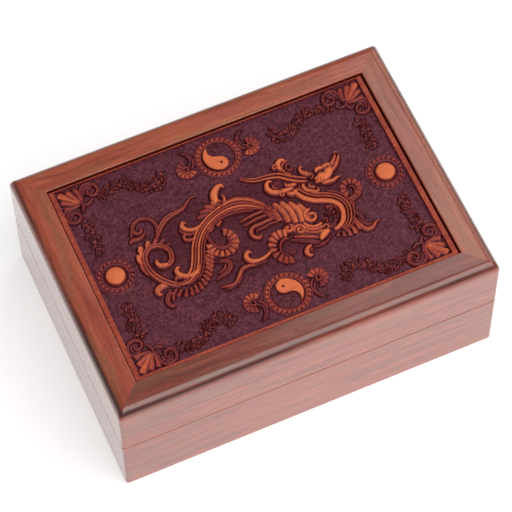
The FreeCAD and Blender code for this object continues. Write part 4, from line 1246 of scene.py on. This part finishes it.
        for tone, ridges, rise, *knots in (
            (1.05, 1, high, (30.2, -16.0, 0.6), (28.0, -16.4, 1.7), (25.8, -17.6, 1.7), (24.0, -19.2, 0.5)),
            (0.7, 1, high, (13.6, -12.6, 0.5), (17.6, -14.6, 0.9), (21.6, -16.6, 0.9), (24.4, -17.6, 0.4)),
            (0.55, 2, low, (11.6, -13.4, 0.5), (16.6, -16.2, 0.9), (20.8, -18.6, 1.1), (23.6, -19.8, 0.6)),
            (0.5, 1, low, (29.8, -18.2, 0.2), (26.4, -20.6, 0.5), (22.6, -21.4, 0.5), (19.4, -20.6, 0.2)),
            (0.5, 1, low, (12.6, -12.8, 0.4), (9.4, -12.4, 0.55), (6.9, -14.4, 0.55), (6.0, -17.6, 0.55), (6.9, -20.8, 0.2)),
            (0.85, 1, low, (20.0, -19.4, 0.5), (17.4, -20.4, 1.2), (16.0, -22.4, 1.3), (16.8, -24.3, 0.9), (18.6, -24.2, 0.15)),
            (0.55, 1, low, (19.4, -20.8, 0.4), (18.2, -22.2, 0.6), (18.8, -23.4, 0.15)),
            (0.66, 1, low, (10.4, 3.6, 0.5), (5.6, 4.4, 0.7), (1.2, 4.2, 0.7), (-2.4, 3.6, 0.5), (-5.4, 3.2, 0.1)),
            (0.62, 1, low, (10.0, 1.8, 0.5), (5.6, 2.0, 0.7), (1.6, 1.8, 0.7), (-2.0, 1.0, 0.5), (-4.6, 1.2, 0.1)),
            (0.75, 1, low, (12.0, -1.0, 0.5), (7.4, -0.8, 0.8), (3.2, -1.2, 0.9), (-0.4, -1.4, 1.0), (-2.2, -3.6, 1.1), (-1.4, -6.4, 1.0),
             (0.8, -7.2, 0.8), (1.8, -5.4, 0.2)),
            (0.55, 1, low, (12.6, -3.0, 0.4), (8.0, -2.8, 0.6), (4.0, -3.4, 0.6), (0.8, -3.6, 0.5), (0.4, -4.8, 0.15)),
        ):
            ribbon(carving, tone, ridges, rise, *knots)
        for number in range(6):
            angle = math.tau * number / 6
            bead(carving, 10.4 + 1.0 * math.cos(angle), -19.4 + 1.0 * math.sin(angle), 0.66, 0.8, 0.5)
        bead(carving, 10.4, -19.4, 0.6, 1.0, 0.62)
        finish_carving(carving, "dragon_haunch")

    def carve_neck(self, high, low):
        """The smooth neck, the fringe inside its bend and the leaves under it."""
        carving = new_carving()
        neck = [
            (31.0, -16.8, 0.8, low), (33.8, -16.9, 1.5, high), (37.0, -14.8, 1.9, high), (39.0, -11.2, 2.0, high),
            (39.4, -7.2, 2.0, high), (37.6, -3.8, 2.0, high), (34.0, -1.4, 2.0, high), (30.0, 0.4, 2.0, high),
            (26.6, 3.2, 2.1, high), (24.6, 6.4, 1.8, high), (24.2, 9.2, 0.8, low),
        ]
        stroke(carving, alongside(neck, 0.22, 0.76), tone=1.05, lean=-0.15, outline=0.25)
        stroke(carving, alongside(neck, -0.84, 0.2)[1:], tone=0.8, outline=0.25)
        for share, width, first, last, tone in ((-1.5, 0.26, 1, 9, 0.8), (-2.15, 0.22, 1, 7, 0.6), (1.4, 0.2, 2, 6, 0.5)):
            stroke(carving, alongside(neck, share, width)[first:last], tone=tone, outline=0.2)
        for root, tip, wide, tone in (
            ((32.8, -18.0), (31.4, -20.8), 1.05, 0.6),
            ((34.8, -18.4), (34.0, -22.2), 1.15, 0.7),
            ((36.8, -17.8), (36.8, -22.9), 1.2, 0.8),
            ((38.8, -16.6), (39.6, -22.8), 1.25, 0.9),
            ((40.6, -14.6), (42.2, -21.6), 1.15, 0.85),
        ):
            petal(carving, root, tip, wide, low, bend=0.06, tone=tone, shape=BLUNT)
        spray(carving, (47.0, -0.6), 208, -62, (1.7, 1.7), (5.2, 5.2), 9, low, 0.85, 0.75, bend=0.05)
        for tone, ridges, *knots in (
            (0.75, 1, (41.8, -13.4, 0.6), (42.6, -18.4, 1.0), (44.4, -22.2, 1.3), (47.4, -22.4, 1.1), (50.0, -20.6, 0.6), (52.4, -20.4, 0.05)),
            (0.55, 1, (43.4, -14.6, 0.3), (44.2, -18.4, 0.5), (46.2, -20.6, 0.5), (48.6, -20.0, 0.2)),
            (0.6, 2, (43.2, -9.8, 0.6), (44.0, -12.6, 1.0), (45.2, -15.6, 1.0), (44.9, -18.4, 0.2)),
            (0.66, 2, (42.2, -6.6, 0.6), (45.6, -6.0, 1.0), (48.6, -5.2, 1.0), (50.2, -4.0, 0.4)),
            (0.6, 1, (42.0, -5.2, 0.4), (44.6, -5.2, 0.6), (46.8, -4.4, 0.5), (48.2, -2.6, 0.45), (48.2, -0.4, 0.4), (46.8, 0.4, 0.35), (46.2, -0.8, 0.15)),
            (0.5, 2, (28.8, -15.0, 0.5), (32.0, -14.4, 0.8), (35.0, -12.0, 0.8), (36.0, -8.8, 0.2)),
        ):
            ribbon(carving, tone, ridges, low, *knots)
        for number in range(7):
            angle = math.radians(-80 + 24 * number)
            root = (31.4 + 2.2 * math.cos(angle), -9.6 + 3.4 * math.sin(angle))
            tip = (31.4 + 4.7 * math.cos(angle), -9.6 + 6.4 * math.sin(angle))
            petal(carving, root, tip, 0.85, low * 0.8, bend=-0.15, tone=0.45 + 0.03 * number)
        for x, y, radius, tone in (
            (44.0, -8.6, 1.5, 0.62), (34.6, -6.2, 1.3, 0.66), (30.0, -11.4, 1.4, 0.5), (30.6, -14.0, 1.1, 0.5), (32.4, -8.8, 1.2, 0.42)
        ):
            stroke(carving, curl((x, y), 200, -180, radius, 0.3, 0.42, low), tone=tone, spacing=0.35)
        finish_carving(carving, "dragon_neck")

    def carve_head(self, high, low):
        """The head with its jaws, brow and ear, and the mane that streams back from it."""
        carving = new_carving()
        mane = [
            (31.6, 10.8, 1.2, low), (28.2, 12.2, 1.7, high), (24.4, 14.6, 1.7, high), (20.6, 17.6, 1.6, high),
            (15.8, 19.3, 1.4, low), (10.8, 19.9, 1.2, low), (7.0, 21.4, 0.9, low), (3.8, 23.6, 0.4, low),
        ]
        for share, width, tone in ((-0.62, 0.34, 0.8), (0.55, 0.34, 0.9)):
            stroke(carving, alongside(mane, share, width), tone=tone, outline=0.3, spacing=0.5)
        for tone, ridges, rise, *knots in (
            (0.8, 1, high, (40.6, 12.6, 0.9), (43.2, 13.2, 1.3), (45.4, 14.9, 1.1), (47.3, 17.0, 0.8), (47.9, 18.6, 0.3)),
            (0.85, 1, high, (41.6, 10.2, 0.6), (44.2, 11.4, 0.95), (46.6, 13.4, 0.95), (48.4, 15.8, 0.75), (49.0, 17.4, 0.3)),
            (1.1, 1, high + 0.2, (35.0, 8.0, 1.2), (37.2, 9.3, 2.8), (39.8, 10.0, 2.9), (42.2, 11.2, 2.0), (43.8, 12.4, 0.8)),
            (0.9, 1, high, (36.0, 7.0, 0.8), (38.4, 6.2, 1.1), (41.2, 5.9, 1.0), (43.6, 6.5, 0.7), (45.8, 7.0, 0.1)),
            (1.05, 1, high, (35.7, 12.6, 0.6), (37.4, 14.0, 1.1), (39.8, 13.8, 0.9), (41.8, 14.3, 0.9), (43.6, 14.0, 0.5), (44.8, 13.6, 0.15)),
            (0.7, 1, high, (36.6, 11.9, 0.3), (38.8, 12.5, 0.35), (41.4, 12.7, 0.35), (43.4, 12.7, 0.15)),
            (0.9, 1, high, (34.6, 12.8, 0.7), (32.4, 13.3, 1.2), (30.7, 14.8, 1.25), (30.2, 16.9, 0.8), (31.3, 17.9, 0.4), (32.1, 17.1, 0.15)),
            (0.55, 1, low, (33.8, 14.4, 0.5), (32.4, 15.2, 0.6), (31.9, 16.4, 0.2)),
            (0.85, 1, low, (29.6, 10.4, 0.5), (28.2, 8.6, 1.1), (29.0, 6.2, 1.15), (31.0, 4.5, 1.1), (33.2, 3.9, 0.8), (33.9, 5.1, 0.4), (33.0, 5.8, 0.15)),
            (0.75, 1, low, (31.8, 9.2, 0.5), (30.8, 7.6, 0.95), (32.1, 6.4, 0.8), (33.5, 7.0, 0.2)),
            (0.66, 1, low, (27.4, 10.2, 0.4), (26.2, 8.4, 0.6), (26.8, 6.2, 0.65), (28.2, 4.6, 0.3)),
            (0.95, 1, high, (24.4, 9.6, 0.7), (20.8, 9.7, 1.2), (17.2, 10.0, 1.4), (14.4, 11.4, 1.6), (13.3, 14.0, 1.5), (14.2, 16.3, 0.95),
             (15.9, 16.7, 0.5), (16.6, 15.6, 0.15)),
            (0.55, 1, low, (18.4, 12.2, 0.5), (16.4, 12.5, 0.7), (15.9, 14.1, 0.5), (16.9, 14.6, 0.15)),
            (0.95, 1, high, (25.6, 8.8, 0.7), (23.0, 6.9, 1.3), (20.9, 7.5, 1.1), (20.5, 9.0, 0.4)),
            (0.85, 1, low, (26.6, 11.4, 0.6), (23.8, 11.2, 1.15), (21.7, 12.1, 0.9), (21.4, 13.7, 0.3)),
            (1.05, 1, high, (24.4, 18.4, 0.6), (22.6, 20.6, 1.1), (22.3, 22.9, 1.5), (23.9, 24.6, 1.3), (25.6, 24.2, 0.7), (26.2, 23.0, 0.2)),
        ):
            ribbon(carving, tone, ridges, rise, *knots, spacing=0.45)
        for centre, start, finish, first, last, wide, tone in (
            ((26.6, 19.4), 72, 262, 3.7, 3.3, 0.6, 0.72),
            ((26.6, 19.4), 60, 420, 2.3, 0.5, 0.48, 0.6),
            ((20.5, 22.1), -20, 330, 1.5, 0.4, 0.55, 0.78),
            ((18.2, 8.6), 60, 480, 1.6, 0.35, 0.5, 0.8),
            ((35.1, 9.1), 200, 600, 1.5, 0.35, 0.55, 0.95),
            ((33.2, 11.6), 220, 620, 1.3, 0.35, 0.45, 0.7),
            ((48.3, 17.9), 260, -60, 1.1, 0.4, 0.4, 0.8),
            ((39.2, 11.4), 0, 360, 1.15, 1.15, 0.32, 0.3),
            ((37.4, 8.6), 60, -260, 1.4, 0.4, 0.4, 0.75),
        ):
            stroke(carving, curl(centre, start, finish, first, last, wide, high * 1.15, count=9), tone=tone, spacing=0.35)
        for x, y in ((36.9, 14.7), (38.7, 14.9), (40.7, 15.0), (42.7, 14.9)):
            bead(carving, x, y, 0.85, high * 0.8, 0.9)
        bead(carving, 39.2, 11.3, 0.75, 0.3, 0.0, high + 0.05)
        for x, y in ((40.2, 13.3), (42.0, 13.4), (43.8, 13.2)):
            bead(carving, x, y, 0.6, 0.5, 0.85, high - 0.1)
        for x, y in ((43.4, 8.6), (44.6, 9.6), (42.6, 7.4)):
            bead(carving, x, y, 0.5, 0.9, 0.62)
        finish_carving(carving, "dragon_head")


class CARDBOX_PT_panel(bpy.types.Panel):
    """Lists the steps that finish the box"""

    bl_idname = "CARDBOX_PT_panel"
    bl_label = "Card Box"
    bl_space_type = "VIEW_3D"
    bl_region_type = "UI"
    bl_category = "Card Box"

    def draw(self, context):
        for step in STEPS:
            self.layout.operator(step.bl_idname)
        for settings in SETTINGS:
            box = self.layout.box()
            group = getattr(context.scene, settings)
            for name in group.bl_rna.properties.keys():
                if name not in ("rna_type", "name"):
                    box.prop(group, name)


SETTINGS = {
    "stage_settings": StageSettings,
    "board_finish": BoardFinish,
    "carving_finish": CarvingFinish,
    "carving_sizes": CarvingSizes,
}
STEPS = (
    CARDBOX_OT_set_stage,
    CARDBOX_OT_finish_boards,
    CARDBOX_OT_finish_hinges,
    CARDBOX_OT_carve_ground,
    CARDBOX_OT_carve_bosses,
    CARDBOX_OT_carve_medallions,
    CARDBOX_OT_carve_palmettes,
    CARDBOX_OT_carve_garlands,
    CARDBOX_OT_carve_dragon,
)


def register():
    for item in (*SETTINGS.values(), *STEPS, CARDBOX_PT_panel):
        bpy.utils.register_class(item)
    for name, group in SETTINGS.items():
        setattr(bpy.types.Scene, name, bpy.props.PointerProperty(type=group))


def unregister():
    for name in SETTINGS:
        delattr(bpy.types.Scene, name)
    for item in reversed((*SETTINGS.values(), *STEPS, CARDBOX_PT_panel)):
        bpy.utils.unregister_class(item)


def main():
    """Runs every step."""
    register()
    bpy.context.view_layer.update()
    for step in STEPS:
        group, name = step.bl_idname.split(".")
        getattr(getattr(bpy.ops, group), name)()


if __name__ == "__main__":
    main()
